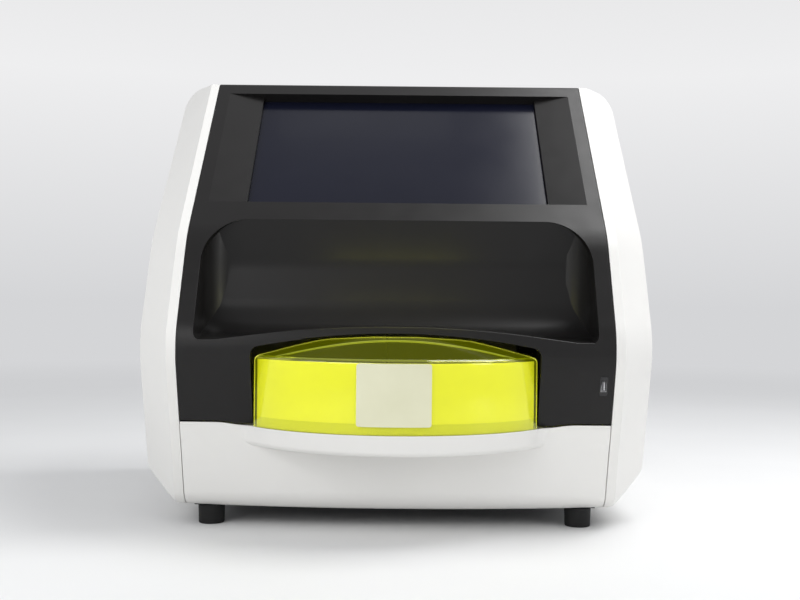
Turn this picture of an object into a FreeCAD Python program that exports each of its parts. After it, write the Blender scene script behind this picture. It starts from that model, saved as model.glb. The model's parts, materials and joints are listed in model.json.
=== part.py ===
"""Bench immunoassay analyzer with a slanted screen, a scooped front and a pull-out loading drawer.

Millimetres. +Z is up, the front faces -Y, and the origin is on the bench under the middle.
"""
import FreeCAD, Part
import Sketcher
import math
import os
from FreeCAD import Placement, Rotation, Vector

doc = FreeCAD.newDocument("Analyzer")

# Driving dimensions
SIZES = {
    "body_width": 700,
    "body_height": 650,
    "body_floor": 26,
    "back_y": 333.5,
    "wall": 4,
    "slant_wall": 5,
    "panel_gap": 1,
    "panel_fit": 0.8,
    # Front outline, seen from the side
    "top_front_y": 73.5,
    "top_front_round": 10,
    "top_return": 14,
    "bend_y": -185.9,
    "bend_z": 394,
    "bend_round": 150,
    "crest_y": -262.5,
    "crest_z": 248,
    "crest_round": 80,
    "toe_y": -183.5,
    "toe_round": 33,
    # Side shells
    "seam_x": 285.3,
    "strip_width": 12.5,
    "flare_depth": 82,
    "chamfer_z": 70,
    "chamfer_x": 290,
    "chamfer_round": 15,
    "crown_round": 32,
    "boss_radius": 7,
    "boss_front_y": 0,
    "boss_rear_y": 250,
    "boss_low_z": 110,
    "boss_drop": 90,
    "boss_pitch": 130,
    # Screen recess on the slant
    "screen_width": 426,
    "screen_length": 267,
    "screen_margin": 26,
    "screen_depth": 18,
    "wing_width": 52.5,
    "wing_depth": 8,
    "glass_thick": 3,
    "glass_play": 0.5,
    "window_border": 12,
    "display_thick": 8,
    "display_board": 10,
    "recess_wall": 3,
    # Scoop above the ledge
    "scoop_half": 263,
    "scoop_top": 418,
    "scoop_corner": 60,
    "scoop_wall": 4,
    "ledge_z": 251,
    "ledge_rise": 17,
    "ledge_arc": 1400,
    "ledge_corner": 12,
    "ledge_fall": 6,
    "scoop_back_y": -160,
    "scoop_foot": 9,
    "scoop_lean": 12,
    "scoop_brow": 60,
    "scoop_root": 60,
    "scoop_side_round": 45,
    # Arched opening
    "arch_half": 188,
    "arch_z": 245,
    "arch_rise": 17,
    "arch_arc": 940,
    "arch_corner": 12,
    "fascia_low": 147,
    "flange_depth": 26,
    # Where the fascia's and the drawer's edges dip beside the hood
    "dip_x": 217.5,
    "dip_run": 22,
    "dip_fall": 3.7,
    "dip_round": 130,
    # Drawer front, hood and carousel share one upright axis
    "hub_y": -102.5,
    "hood_radius": 231,
    "hood_half": 184.7,
    "hood_low": 141,
    "hood_shoulder": 233,
    "hood_slope": 0.365,
    "hood_wall": 3,
    "hood_bend": 5,
    "hood_core": 20,
    "hood_rear_y": -270.5,
    "liner_gap": 1.5,
    "liner_low": 152,
    "liner_wall": 2.5,
    "liner_step": 8,
    "liner_short": 3.5,
    "lip_thick": 28,
    "lip_shell": 6,
    "lip_top_wall": 3.5,
    "lip_round": 12,
    "lip_root_round": 38,
    "lip_seam_y": -225.5,
    "drawer_top": 144.7,
    "drawer_travel": 260,
    "top_bulge": 3,
    "toe_bulge": 32,
    "toe_arc": 1240,
    "tray_front_y": -165.5,
    "tray_half": 176,
    "tray_back_y": 88,
    "tray_floor": 110,
    "tray_wall": 2,
    "carousel_radius": 168,
    "carousel_low": 146,
    "carousel_high": 184,
    "carousel_floor": 5,
    "well_radius": 7.5,
    "well_ring": 148,
    "well_count": 24,
    "vial_radius": 12,
    "vial_ring": 108,
    "vial_count": 12,
    "relief_radius": 13,
    "relief_ring": 58,
    "relief_count": 6,
    "spindle_radius": 8,
    "spindle_fit": 0.05,
    "spindle_cap": 22,
    "spindle_cap_thick": 5,
    "spindle_rise": 14,
    "bearing_radius": 26,
    "bearing_play": 0.5,
    "slide_height": 26,
    "slide_inner": 4,
    "slide_outer": 8,
    "slide_play": 0.3,
    "slide_inset": 20,
    "slide_hold": 75,
    "slide_web": 2,
    # Frame
    "sheet": 2.5,
    "frame_x": 283,
    "frame_front_y": -158.5,
    "frame_play": 0.6,
    # Rear panel
    "rear_recess": 5,
    "rear_sheet": 3,
    "rear_screw_inset": 25,
    "rear_screw_drop": 40,
    "rear_screw_radius": 3.5,
    "rear_screw_head": 2.2,
    "vent_x": 235,
    "vent_low": 250,
    "vent_pitch": 16,
    "vent_width": 80,
    "vent_height": 6,
    "fan_size": 80,
    "fan_depth": 25,
    "fan_x": 120,
    "fan_drop": 180,
    "fan_rim": 2,
    "fan_play": 1.5,
    "fan_arm": 5,
    "fan_arm_thick": 3,
    "fan_stator": 4,
    "fan_pin_short": 6,
    "blade_count": 7,
    "blade_thick": 2,
    "blade_depth": 14,
    "fan_hub": 18,
    "fan_shaft": 2.5,
    "guard_wire": 1,
    "guard_bar": 1.6,
    "guard_reach": 44,
    # Service plate with mains inlet, switch and ports
    "service_plate": 2,
    "service_left": -240,
    "service_right": 174,
    "service_low": 82,
    "service_high": 132,
    "service_lap": 4,
    "service_screw_inset": 5,
    "service_screw_radius": 2,
    "service_screw_head": 1,
    "service_z": 107,
    "flange_thick": 2,
    "inlet_x": -211,
    "inlet_width": 27,
    "inlet_height": 21,
    "inlet_deep": 22,
    "inlet_rim": 6,
    "inlet_wall": 2.5,
    "inlet_well": 14,
    "inlet_pitch": 5,
    "inlet_pin": 1.2,
    "inlet_pin_height": 4,
    "switch_x": -169.3,
    "switch_width": 21,
    "switch_height": 21.2,
    "switch_deep": 14,
    "switch_rim": 2.2,
    "switch_wall": 2,
    "switch_well": 9,
    "rocker_play": 0.3,
    "rocker_half": 8,
    "rocker_proud": 4.2,
    "rocker_waist": 2.6,
    "rocker_root": 4,
    "rocker_sunk": 3,
    "rocker_pin": 1.2,
    "port_x": 142.5,
    "port_z": 105,
    "port_width": 44,
    "port_height": 17,
    "port_deep": 20,
    "port_well": 12,
    "net_width": 14,
    "net_height": 12,
    "usb_width": 6,
    "usb_height": 13,
    "usb_pitch": 12,
    # Pipetting gantry
    "beam_drop": 250,
    "beam_height": 40,
    "beam_y": 80,
    "beam_depth": 24,
    "beam_wall": 3,
    "rail_depth": 6,
    "rail_height": 14,
    "rail_short": 20,
    "carriage_width": 64,
    "carriage_thick": 16,
    "carriage_skirt": 6,
    "carriage_play": 0.3,
    "head_lift": 70,
    "lug_size": 18,
    "lug_thick": 8,
    "screw_radius": 4,
    "screw_side": 12,
    "screw_over": 4,
    "motor_size": 28,
    "motor_height": 34,
    "motor_stand": 6,
    "head_width": 26,
    "head_height": 28,
    "head_side": 4,
    "arm_height": 14,
    "arm_rise": 3.5,
    "needle_radius": 1.2,
    "needle_clear": 4,
    # Units on the chassis
    "supply_width": 78,
    "supply_depth": 170,
    "supply_height": 60,
    "unit_y": 130,
    "board_x": -120,
    "board_y": 110,
    "board_width": 230,
    "board_depth": 200,
    "board_thick": 2,
    "stand_height": 8,
    "stand_radius": 3,
    "stand_inset": 8,
    "chip_size": 40,
    "chip_thick": 3,
    "relay_height": 8,
    "pump_width": 66,
    "pump_depth": 60,
    "pump_height": 150,
    "barrel_radius": 9,
    "barrel_height": 60,
    "reader_y": -60,
    "reader_low": 190,
    "reader_width": 74,
    "reader_depth": 110,
    "reader_height": 110,
    "snout_radius": 16,
    "snout_length": 22,
    "lens_radius": 13,
    "lens_thick": 2,
    # Feet
    "foot_radius": 18.3,
    "foot_taper": 0.8,
    "foot_bore": 6,
    "foot_bore_depth": 14,
    "foot_screw": 4.5,
    "foot_screw_thick": 3,
    "foot_x": 252,
    "foot_front_y": -159.5,
    "foot_rear_y": 268,
    "tab_edge": 3.5,
    "tab_front_y": -171,
    # Front socket
    "socket_x": 271,
    "socket_z": 198,
    "socket_width": 7.2,
    "socket_height": 14.6,
    "socket_depth": 16,
    "socket_sunk": 2,
    "socket_metal": 0.5,
    "tongue_side": 0.4,
    "tongue_thick": 1.9,
    "tongue_height": 11,
}

sheet = doc.addObject("Spreadsheet::Sheet", "Dimensions")
for row, (alias, number) in enumerate(SIZES.items(), start=1):
    sheet.set(f"A{row}", alias)
    sheet.set(f"B{row}", str(number))
    sheet.setAlias(f"B{row}", alias)
doc.recompute()


class Size:
    """A number that carries the spreadsheet formula it comes from."""

    def __init__(self, number, formula=None):
        self.number = float(number)
        self.formula = formula or repr(float(number))

    def join(self, sign, other):
        other = as_size(other)
        a, b = self.number, other.number
        number = {"+": a + b, "-": a - b, "*": a * b, "/": a / b if b else 0.0}[sign]
        return Size(number, f"({self.formula} {sign} {other.formula})")

    def __add__(self, other):
        return self.join("+", other)

    def __sub__(self, other):
        return self.join("-", other)

    def __mul__(self, other):
        return self.join("*", other)

    def __truediv__(self, other):
        return self.join("/", other)

    def __radd__(self, other):
        return as_size(other).join("+", self)

    def __rsub__(self, other):
        return as_size(other).join("-", self)

    def __rmul__(self, other):
        return as_size(other).join("*", self)

    def __neg__(self):
        return as_size(0).join("-", self)


def as_size(value):
    return value if isinstance(value, Size) else Size(value)


def root(size):
    return Size(math.sqrt(size.number), f"sqrt({size.formula})")


class Sizes:
    """Reads the spreadsheet's cells by name."""

    def __getattr__(self, alias):
        return Size(sheet.get(alias), f"Dimensions.{alias}")


d = Sizes()

# Where a sketch lies: side is Y-Z seen from +X, front is X-Z, plan is X-Y
PLANES = {
    "side": Rotation(Vector(0, 1, 0), Vector(0, 0, 1), Vector(1, 0, 0)),
    "front": Rotation(Vector(1, 0, 0), Vector(0, 0, 1), Vector(0, -1, 0)),
    "plan": Rotation(),
}
NORMALS = {"side": "x", "front": "y", "plan": "z"}


def bind(thing, prop, size):
    """Sets a size now and ties it to the spreadsheet."""
    size = as_size(size)
    setattr(thing, prop, size.number)
    thing.setExpression(prop, size.formula)


def put(thing, x=0, y=0, z=0):
    """Places a thing at a point worked out from the spreadsheet."""
    for axis, size in zip("xyz", (x, y, z)):
        thing.setExpression(f"Placement.Base.{axis}", as_size(size).formula)
    return thing


def outline(name, plane, at, corners):
    """A closed sketch through corners (u, v) or (u, v, radius), on a plane at a distance."""
    sketch = doc.addObject("Sketcher::SketchObject", name)
    points = [Vector(as_size(c[0]).number, as_size(c[1]).number, 0) for c in corners]
    count = len(corners)
    ends = []
    for i in range(count):
        here = points[i]
        if len(corners[i]) == 2:
            ends.append((here, here, None))
            continue
        back = (points[i - 1] - here).normalize()
        ahead = (points[(i + 1) % count] - here).normalize()
        radius = as_size(corners[i][2]).number
        half = back.getAngle(ahead) / 2
        tangent = radius / math.tan(half)
        middle = (back + ahead).normalize()
        crown = here + middle * (radius / math.sin(half) - radius)
        ends.append((here + back * tangent, here + ahead * tangent, crown))
    lines = []
    for i in range(count):
        line = Part.LineSegment(ends[i][1], ends[(i + 1) % count][0])
        lines.append(sketch.addGeometry(line))
    rules = []
    formulas = {}
    for i in range(count):
        before, after = lines[i - 1], lines[i]
        if ends[i][2] is None:
            rules.append(Sketcher.Constraint("Coincident", before, 2, after, 1))
            anchor = after
        else:
            start, end, crown = ends[i]
            left_turn = (crown - start).cross(end - crown).z > 0
            arc = sketch.addGeometry(
                Part.Arc(start, crown, end) if left_turn else Part.Arc(end, crown, start)
            )
            first, last = (1, 2) if left_turn else (2, 1)
            radius = as_size(corners[i][2])
            rules.append(Sketcher.Constraint("Tangent", before, 2, arc, first))
            rules.append(Sketcher.Constraint("Tangent", after, 1, arc, last))
            formulas[len(rules)] = radius.formula
            rules.append(Sketcher.Constraint("Radius", arc, radius.number))
            anchor = sketch.addGeometry(Part.Point(points[i]), True)
            rules.append(Sketcher.Constraint("PointOnObject", anchor, 1, before))
            rules.append(Sketcher.Constraint("PointOnObject", anchor, 1, after))
        for kind, value in zip(("DistanceX", "DistanceY"), corners[i]):
            value = as_size(value)
            formulas[len(rules)] = value.formula
            rules.append(Sketcher.Constraint(kind, -1, 1, anchor, 1, value.number))
    sketch.addConstraint(rules)
    for held, formula in formulas.items():
        sketch.setExpression(f"Constraints[{held}]", formula)
    axis = NORMALS[plane]
    at = as_size(at)
    spot = Vector(0, 0, 0)
    setattr(spot, axis, at.number)
    sketch.Placement = Placement(spot, PLANES[plane])
    sketch.setExpression(f"Placement.Base.{axis}", at.formula)
    return sketch


def extrude(name, sketch, along, length):
    """A solid from a sketch, along +X, +Y or +Z."""
    solid = doc.addObject("Part::Extrusion", name)
    solid.Base = sketch
    solid.DirMode = "Custom"
    solid.Dir = {"x": Vector(1, 0, 0), "y": Vector(0, 1, 0), "z": Vector(0, 0, 1)}[along]
    solid.Solid = True
    bind(solid, "LengthFwd", length)
    return solid


def prism(name, plane, start, length, corners):
    """An outline and its extrusion away from the start."""
    axis = NORMALS[plane]
    return extrude(name, outline(name + "_outline", plane, start, corners), axis, length)


def box(name, low, size):
    """A box from its lowest corner and its three sides."""
    solid = doc.addObject("Part::Box", name)
    for prop, value in zip(("Length", "Width", "Height"), size):
        bind(solid, prop, value)
    return put(solid, *low)


TURNS = {
    "x": Rotation(Vector(0, 1, 0), 90),
    "y": Rotation(Vector(1, 0, 0), -90),
    "z": Rotation(),
}


def cylinder(name, low, axis, radius, length):
    """A round bar from the middle of its low end."""
    solid = doc.addObject("Part::Cylinder", name)
    bind(solid, "Radius", radius)
    bind(solid, "Height", length)
    solid.Placement = Placement(Vector(0, 0, 0), TURNS[axis])
    return put(solid, *low)


def cut(name, base, *tools):
    """Takes the tools away from the base, one after another."""
    for i, tool in enumerate(tools):
        solid = doc.addObject("Part::Cut", name if i == len(tools) - 1 else f"{name}_{i}")
        solid.Base = base
        solid.Tool = tool
        base = solid
    return solid


def fuse(name, *pieces):
    solid = doc.addObject("Part::MultiFuse", name)
    solid.Shapes = list(pieces)
    solid.Refine = True
    return solid


def common(name, *pieces):
    solid = doc.addObject("Part::MultiCommon", name)
    solid.Shapes = list(pieces)
    return solid


def group(name, *pieces):
    """Separate solids kept in one node."""
    solid = doc.addObject("Part::Compound", name)
    solid.Links = list(pieces)
    return solid


def mirror(name, source):
    """The same piece on the other side of the middle plane."""
    solid = doc.addObject("Part::Mirroring", name)
    solid.Source = source
    solid.Normal = Vector(1, 0, 0)
    return solid


def revolve(name, sketch, x, y, angle):
    """A solid turned about an upright axis, half the angle each way."""
    solid = doc.addObject("Part::Revolution", name)
    solid.Source = sketch
    solid.Axis = Vector(0, 0, 1)
    solid.Base = Vector(as_size(x).number, as_size(y).number, 0)
    solid.setExpression("Base.y", as_size(y).formula)
    solid.setExpression("Base.x", as_size(x).formula)
    solid.Symmetric = True
    solid.Solid = True
    bind(solid, "Angle", angle)
    return solid


nodes = {}


def node(name, solid):
    """Marks a finished sub-part and gives it its label."""
    solid.Label = name
    nodes[name] = solid
    return solid


# Values that several pieces share
past = Size(60)    # how far a cutting tool runs past the piece
bite = Size(1)     # how far a joined piece runs into its neighbour
seam = d.seam_x
trim_half = seam - d.panel_gap
back_inner = d.back_y - d.rear_recess - d.rear_sheet
rear_face = d.back_y - d.rear_recess
service_face = rear_face + d.service_plate
service_inner = service_face - d.rear_sheet
half_width = d.body_width / 2
chassis_top = d.body_floor + d.sheet
inner_x = d.frame_x - d.sheet
fan_z = d.body_height - d.fan_drop
beam_z = d.body_height - d.beam_drop
lower_slope = (d.toe_y - d.crest_y) / (d.crest_z - d.body_floor)
slant_run = d.top_front_y - d.bend_y
slant_rise = d.body_height - d.bend_z
slant_length = root(slant_run * slant_run + slant_rise * slant_rise)
slant_cos = slant_run / slant_length
slant_sin = slant_rise / slant_length
slant_angle = Size(
    math.degrees(math.atan2(slant_rise.number, slant_run.number)),
    f"atan({slant_rise.formula} / {slant_run.formula})",
)


def face_y(z):
    """The front plane at the seam, below the crest, at a height."""
    return d.crest_y + (d.crest_z - z) * lower_slope


def body_corners(shift, inset, back):
    """The side view of the whole body, moved in by a wall."""
    return [
        (d.top_front_y + shift, d.body_height - inset, d.top_front_round),
        (d.bend_y + shift, d.bend_z, d.bend_round),
        (d.crest_y + shift, d.crest_z, d.crest_round),
        (d.toe_y + shift, d.body_floor + inset, d.toe_round),
        (back, d.body_floor + inset),
        (back, d.body_height - inset),
    ]


def body_block(name, start, length, shift, inset, back):
    return prism(name, "side", start, length, body_corners(shift, inset, back))


def section_corners(inset):
    """The front view of a side shell: crowned top edge and chamfered bottom edge."""
    return [
        (0, d.body_floor + inset),
        (d.chamfer_x - inset / 2, d.body_floor + inset, d.chamfer_round),
        (half_width - inset, d.chamfer_z, d.chamfer_round),
        (half_width - inset, d.body_height - inset, d.crown_round - inset),
        (0, d.body_height - inset),
    ]


def shell_form(name, shift, inset, back):
    """Front strip in the fascia's plane, then a facet that flares back to the flat side."""
    strip = body_block(name + "_strip", 0, seam + d.strip_width, shift, inset, back)
    near = outline(name + "_near", "side", seam + d.strip_width, body_corners(shift, inset, back))
    far_corners = body_corners(shift + d.flare_depth, inset, back)
    far = outline(name + "_far", "side", half_width, far_corners)
    flare = doc.addObject("Part::Loft", name + "_flare")
    flare.Sections = [near, far]
    flare.Solid = True
    flare.Ruled = True
    whole = fuse(name + "_whole", strip, flare)
    length = d.back_y - d.crest_y * 2
    section = prism(name + "_section", "front", d.crest_y * 1.5, length, section_corners(inset))
    return common(name, whole, section)


def make_side_shells():
    outer = shell_form("shell_outer", 0, 0, d.back_y)
    inner = shell_form("shell_inner", d.slant_wall, d.wall, d.back_y + past)
    middle = box(
        "shell_middle",
        (-half_width, d.crest_y * 1.5, 0),
        (half_width + seam, d.body_height * 2, d.body_height * 2),
    )
    hollow = cut("shell_hollow", outer, inner, middle)
    high = d.body_height - d.boss_drop
    spots = (
        (d.boss_front_y, d.boss_low_z),
        (d.boss_rear_y, d.boss_low_z),
        (d.boss_rear_y, high),
        (d.boss_rear_y - d.boss_pitch, high),
    )
    reach = half_width - d.wall - d.frame_x + bite
    bosses = [
        cylinder(f"shell_boss_{i}", (d.frame_x, y, z), "x", d.boss_radius, reach)
        for i, (y, z) in enumerate(spots)
    ]
    shell = fuse("right_shell_solid", hollow, *bosses)
    node("right_side_shell", shell)
    node("left_side_shell", mirror("left_shell_solid", shell))


def slant_box(name, x, down, depth, size):
    """A box laid on the slant: down from the top edge, below the surface by depth."""
    along = -down - as_size(size[1])
    low = -as_size(depth) - as_size(size[2])
    solid = doc.addObject("Part::Box", name)
    for prop, value in zip(("Length", "Width", "Height"), size):
        bind(solid, prop, value)
    solid.Placement = Placement(Vector(0, 0, 0), Rotation(Vector(1, 0, 0), slant_angle.number))
    solid.setExpression("Placement.Rotation.Angle", slant_angle.formula)
    y = d.top_front_y + along * slant_cos - low * slant_sin
    z = d.body_height + along * slant_sin + low * slant_cos
    return put(solid, x, y, z)


def slant_prism(name, down, length, corners):
    """A shape across the slant, drawn in X and height above the surface, run down the slope."""
    solid = prism(name + "_raw", "front", 0, length, corners)
    turned = doc.addObject("Part::Compound", name)
    turned.Links = [solid]
    turned.Placement = Placement(Vector(0, 0, 0), Rotation(Vector(1, 0, 0), slant_angle.number))
    turned.setExpression("Placement.Rotation.Angle", slant_angle.formula)
    along = -as_size(down) - as_size(length)
    y = d.top_front_y + along * slant_cos
    z = d.body_height + along * slant_sin
    return put(turned, 0, y, z)


def screen_recess(name, grow):
    """The recess round the screen, with a wing that slopes in at each side."""
    outer = d.screen_width / 2 + d.wing_width + grow
    inner = d.screen_width / 2 + grow
    corners = [
        (-outer, past),
        (-outer, 0),
        (-inner, -d.wing_depth - grow),
        (-inner, -d.screen_depth - grow),
        (inner, -d.screen_depth - grow),
        (inner, -d.wing_depth - grow),
        (outer, 0),
        (outer, past),
    ]
    return slant_prism(name, d.screen_margin - grow, d.screen_length + grow * 2, corners)


def scoop_form(name, grow):
    """The scoop's hollow: front view, hollowed side view and round-cornered plan in common."""
    low = d.ledge_z - grow
    half = d.scoop_half + grow
    top = d.scoop_top + grow
    back = d.scoop_back_y + grow
    mouth = d.crest_y * 1.6
    front_corners = [
        (-half, low, d.ledge_corner),
        (0, low + d.ledge_rise * 2, d.ledge_arc),
        (half, low, d.ledge_corner),
        (half, top, d.scoop_corner),
        (-half, top, d.scoop_corner),
    ]
    brow_y = d.bend_y + (d.scoop_top - d.bend_z) * slant_run / slant_rise
    side_corners = [
        (mouth, low - d.ledge_fall),
        (back, low + d.scoop_foot, d.scoop_root),
        (back + d.scoop_lean, d.scoop_top - d.scoop_brow, d.scoop_root),
        (brow_y + grow, top),
        (mouth, top),
    ]
    deep = back + d.scoop_lean
    plan_corners = [
        (-half, mouth),
        (half, mouth),
        (half, deep, d.scoop_side_round),
        (-half, deep, d.scoop_side_round),
    ]
    front = prism(name + "_front", "front", d.crest_y * 2, -d.crest_y * 2, front_corners)
    side = prism(name + "_side", "side", -half_width, d.body_width, side_corners)
    plan = prism(name + "_plan", "plan", 0, d.body_height, plan_corners)
    return common(name, front, side, plan)


def arch_corners(grow):
    low = d.body_floor
    half = d.arch_half + grow
    return [
        (-half, low),
        (half, low),
        (half, d.arch_z + grow, d.arch_corner),
        (0, d.arch_z + grow + d.arch_rise * 2, d.arch_arc),
        (-half, d.arch_z + grow, d.arch_corner),
    ]


def dipped_corners(level, other):
    """Front view with one long edge that dips beside the hood, and a level edge opposite."""
    outer = d.dip_x + d.dip_run / 2
    inner = d.dip_x - d.dip_run / 2
    dipped = level - d.dip_fall
    return [
        (half_width, level),
        (outer, level, d.dip_round),
        (inner, dipped, d.dip_round),
        (-inner, dipped, d.dip_round),
        (-outer, level, d.dip_round),
        (-half_width, level),
        (-half_width, other),
        (half_width, other),
    ]


def make_fascia():
    block = body_block("fascia_block", -trim_half, trim_half * 2, 0, 0, d.back_y)
    room = prism(
        "fascia_room",
        "front",
        -half_width,
        half_width + d.top_front_y + d.top_return,
        dipped_corners(d.fascia_low, d.body_height + past),
    )
    inside = body_block(
        "fascia_inside", -half_width, d.body_width, d.slant_wall, d.wall, d.back_y
    )
    mouth = d.crest_y * 1.5
    tubs = (
        screen_recess("screen_tub", d.recess_wall),
        scoop_form("scoop_tub", d.scoop_wall),
        prism(
            "arch_collar",
            "front",
            mouth,
            d.flange_depth + d.crest_y - mouth,
            arch_corners(d.scoop_wall),
        ),
    )
    void = cut("fascia_void", inside, *tubs)
    moulded = cut("fascia_moulded", common("fascia_outer", block, room), void)
    border = d.window_border
    window = slant_box(
        "window",
        -d.screen_width / 2 + border,
        d.screen_margin + border,
        0,
        (d.screen_width - border * 2, d.screen_length - border * 2, d.screen_depth + past),
    )
    socket_low = d.socket_z - d.socket_height / 2
    socket_left = d.socket_x - d.socket_width / 2
    socket = box(
        "socket_hole",
        (socket_left, mouth, socket_low),
        (d.socket_width, -d.crest_y, d.socket_height),
    )
    arch = prism("arch_cut", "front", mouth, -d.crest_y, arch_corners(0))
    fascia = cut(
        "fascia_solid",
        moulded,
        screen_recess("screen_cut", 0),
        scoop_form("scoop_cut", 0),
        arch,
        window,
        socket,
    )
    node("front_fascia", fascia)
    play = d.glass_play
    glass = slant_box(
        "glass_solid",
        -d.screen_width / 2 + play,
        d.screen_margin + play,
        d.screen_depth - d.glass_thick,
        (d.screen_width - play * 2, d.screen_length - play * 2, d.glass_thick),
    )
    node("screen_glass", glass)
    edge = border + play
    display = fuse(
        "display_solid",
        slant_box(
            "display_panel",
            -d.screen_width / 2 + edge,
            d.screen_margin + edge,
            d.screen_depth,
            (d.screen_width - edge * 2, d.screen_length - edge * 2, d.display_thick),
        ),
        slant_box(
            "display_board",
            -d.screen_width / 2 + border * 2,
            d.screen_margin + border * 2,
            d.screen_depth + d.display_thick,
            (d.screen_width - border * 4, d.screen_length - border * 4, d.display_board),
        ),
    )
    node("display_module", display)
    socket_y = face_y(d.socket_z) + d.socket_sunk
    metal = d.socket_metal
    shell = box(
        "socket_shell",
        (socket_left, socket_y, socket_low),
        (d.socket_width, d.socket_depth, d.socket_height),
    )
    bore = box(
        "socket_bore",
        (socket_left + metal, socket_y - bite, socket_low + metal),
        (d.socket_width - metal * 2, d.socket_depth, d.socket_height - metal * 2),
    )
    tongue = box(
        "socket_tongue",
        (
            d.socket_x + d.tongue_side,
            socket_y + d.socket_sunk,
            d.socket_z - d.tongue_height / 2,
        ),
        (d.tongue_thick, d.socket_depth - d.socket_sunk, d.tongue_height),
    )
    node("usb_socket", fuse("usb_solid", cut("socket_tube", shell, bore), tongue))


def rear_hole(name, x, z, width, height):
    """A cutting box through the rear panel and the service plate, centred on a point."""
    return box(
        name,
        (x - width / 2, back_inner - bite, z - height / 2),
        (width, d.rear_sheet + d.service_plate + bite * 2, height),
    )


def make_covers():
    front = d.top_front_y + d.top_return + d.glass_play
    top = box(
        "top_cover_solid",
        (-trim_half, front, d.body_height - d.wall),
        (trim_half * 2, d.back_y - front, d.wall),
    )
    node("top_cover", top)
    right = section_corners(d.wall + d.panel_fit)[1:4]
    left = [(-x, z, radius) for x, z, radius in reversed(right)]
    panel = prism("rear_sheet_raw", "front", back_inner, d.rear_sheet, right + left)
    holes = [
        cylinder(
            f"fan_hole_{i}",
            (d.fan_x * side, back_inner - bite, fan_z),
            "y",
            d.fan_size / 2 - d.fan_rim,
            d.rear_sheet + bite * 2,
        )
        for i, side in enumerate((-1, 1))
    ]
    plate_width = d.service_right - d.service_left
    plate_height = d.service_high - d.service_low
    plate_x = (d.service_right + d.service_left) / 2
    plate_z = (d.service_high + d.service_low) / 2
    holes.append(
        rear_hole(
            "service_hole",
            plate_x,
            plate_z,
            plate_width - d.service_lap * 2,
            plate_height - d.service_lap * 2,
        )
    )
    holes += [
        rear_hole(
            f"vent_{row}_{side}",
            d.vent_x * side,
            d.vent_low + d.vent_pitch * row + d.vent_height / 2,
            d.vent_width,
            d.vent_height,
        )
        for row in range(6)
        for side in (-1, 1)
    ]
    node("rear_panel", cut("rear_solid", panel, *holes))
    fit = d.panel_gap
    plate = box(
        "service_sheet",
        (d.service_left, rear_face, d.service_low),
        (plate_width, d.service_plate, plate_height),
    )
    service_holes = [
        rear_hole(
            "inlet_hole", d.inlet_x, d.service_z, d.inlet_width + fit, d.inlet_height + fit
        ),
        rear_hole(
            "switch_hole",
            d.switch_x,
            d.service_z,
            d.switch_width + fit / 2,
            d.switch_height + fit,
        ),
        rear_hole("ports_hole", d.port_x, d.port_z, d.port_width + fit, d.port_height + fit),
    ]
    node("service_plate", cut("service_solid", plate, *service_holes))
    screw_x = half_width - d.rear_screw_inset
    heights = (
        d.chamfer_z + d.rear_screw_inset,
        d.body_height / 2,
        d.body_height - d.rear_screw_drop,
    )
    screws = [
        cylinder(
            f"rear_screw_{row}_{side}",
            (screw_x * side, rear_face, z),
            "y",
            d.rear_screw_radius,
            d.rear_screw_head,
        )
        for row, z in enumerate(heights)
        for side in (-1, 1)
    ]
    inset = d.service_screw_inset
    screws += [
        cylinder(
            f"service_screw_{i}",
            (x, service_face, z),
            "y",
            d.service_screw_radius,
            d.service_screw_head,
        )
        for i, (x, z) in enumerate(
            (sx, sz)
            for sx in (d.service_left + inset, d.service_right - inset)
            for sz in (d.service_low + inset, d.service_high - inset)
        )
    ]
    node("rear_panel_screws", group("rear_screws", *screws))


def make_frame():
    floor = box(
        "floor_sheet",
        (-trim_half, d.frame_front_y, d.body_floor),
        (trim_half * 2, back_inner - d.frame_front_y, d.sheet),
    )
    tab_half = d.foot_radius + d.tab_edge
    tabs = [
        box(
            f"foot_tab_{i}",
            (d.foot_x * side - tab_half, d.tab_front_y, d.body_floor),
            (tab_half * 2, d.frame_front_y - d.tab_front_y + bite, d.sheet),
        )
        for i, side in enumerate((-1, 1))
    ]
    node("base_chassis", fuse("floor_solid", floor, *tabs))
    front = d.frame_front_y
    top = d.body_height - d.wall
    shift = d.slant_wall + d.frame_play
    low = d.fascia_low + d.panel_gap
    corners = [
        (front, chassis_top),
        (back_inner, chassis_top),
        (back_inner, top),
        (d.top_front_y + shift, top, d.top_front_round),
        (d.bend_y + shift, d.bend_z, d.bend_round),
        (d.crest_y + shift, d.crest_z, d.crest_round),
        (face_y(d.fascia_low) + shift, low),
        (front, low),
    ]
    right = prism("right_plate", "side", inner_x, d.sheet, corners)
    node("right_frame_plate", right)
    node("left_frame_plate", mirror("left_plate", right))


def sector_angle(half, radius):
    """The whole angle of an arc about the hub that reaches half a width each way."""
    return Size(
        2 * math.degrees(math.asin(half.number / radius.number)),
        f"(2 * asin({half.formula} / {radius.formula}))",
    )


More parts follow.
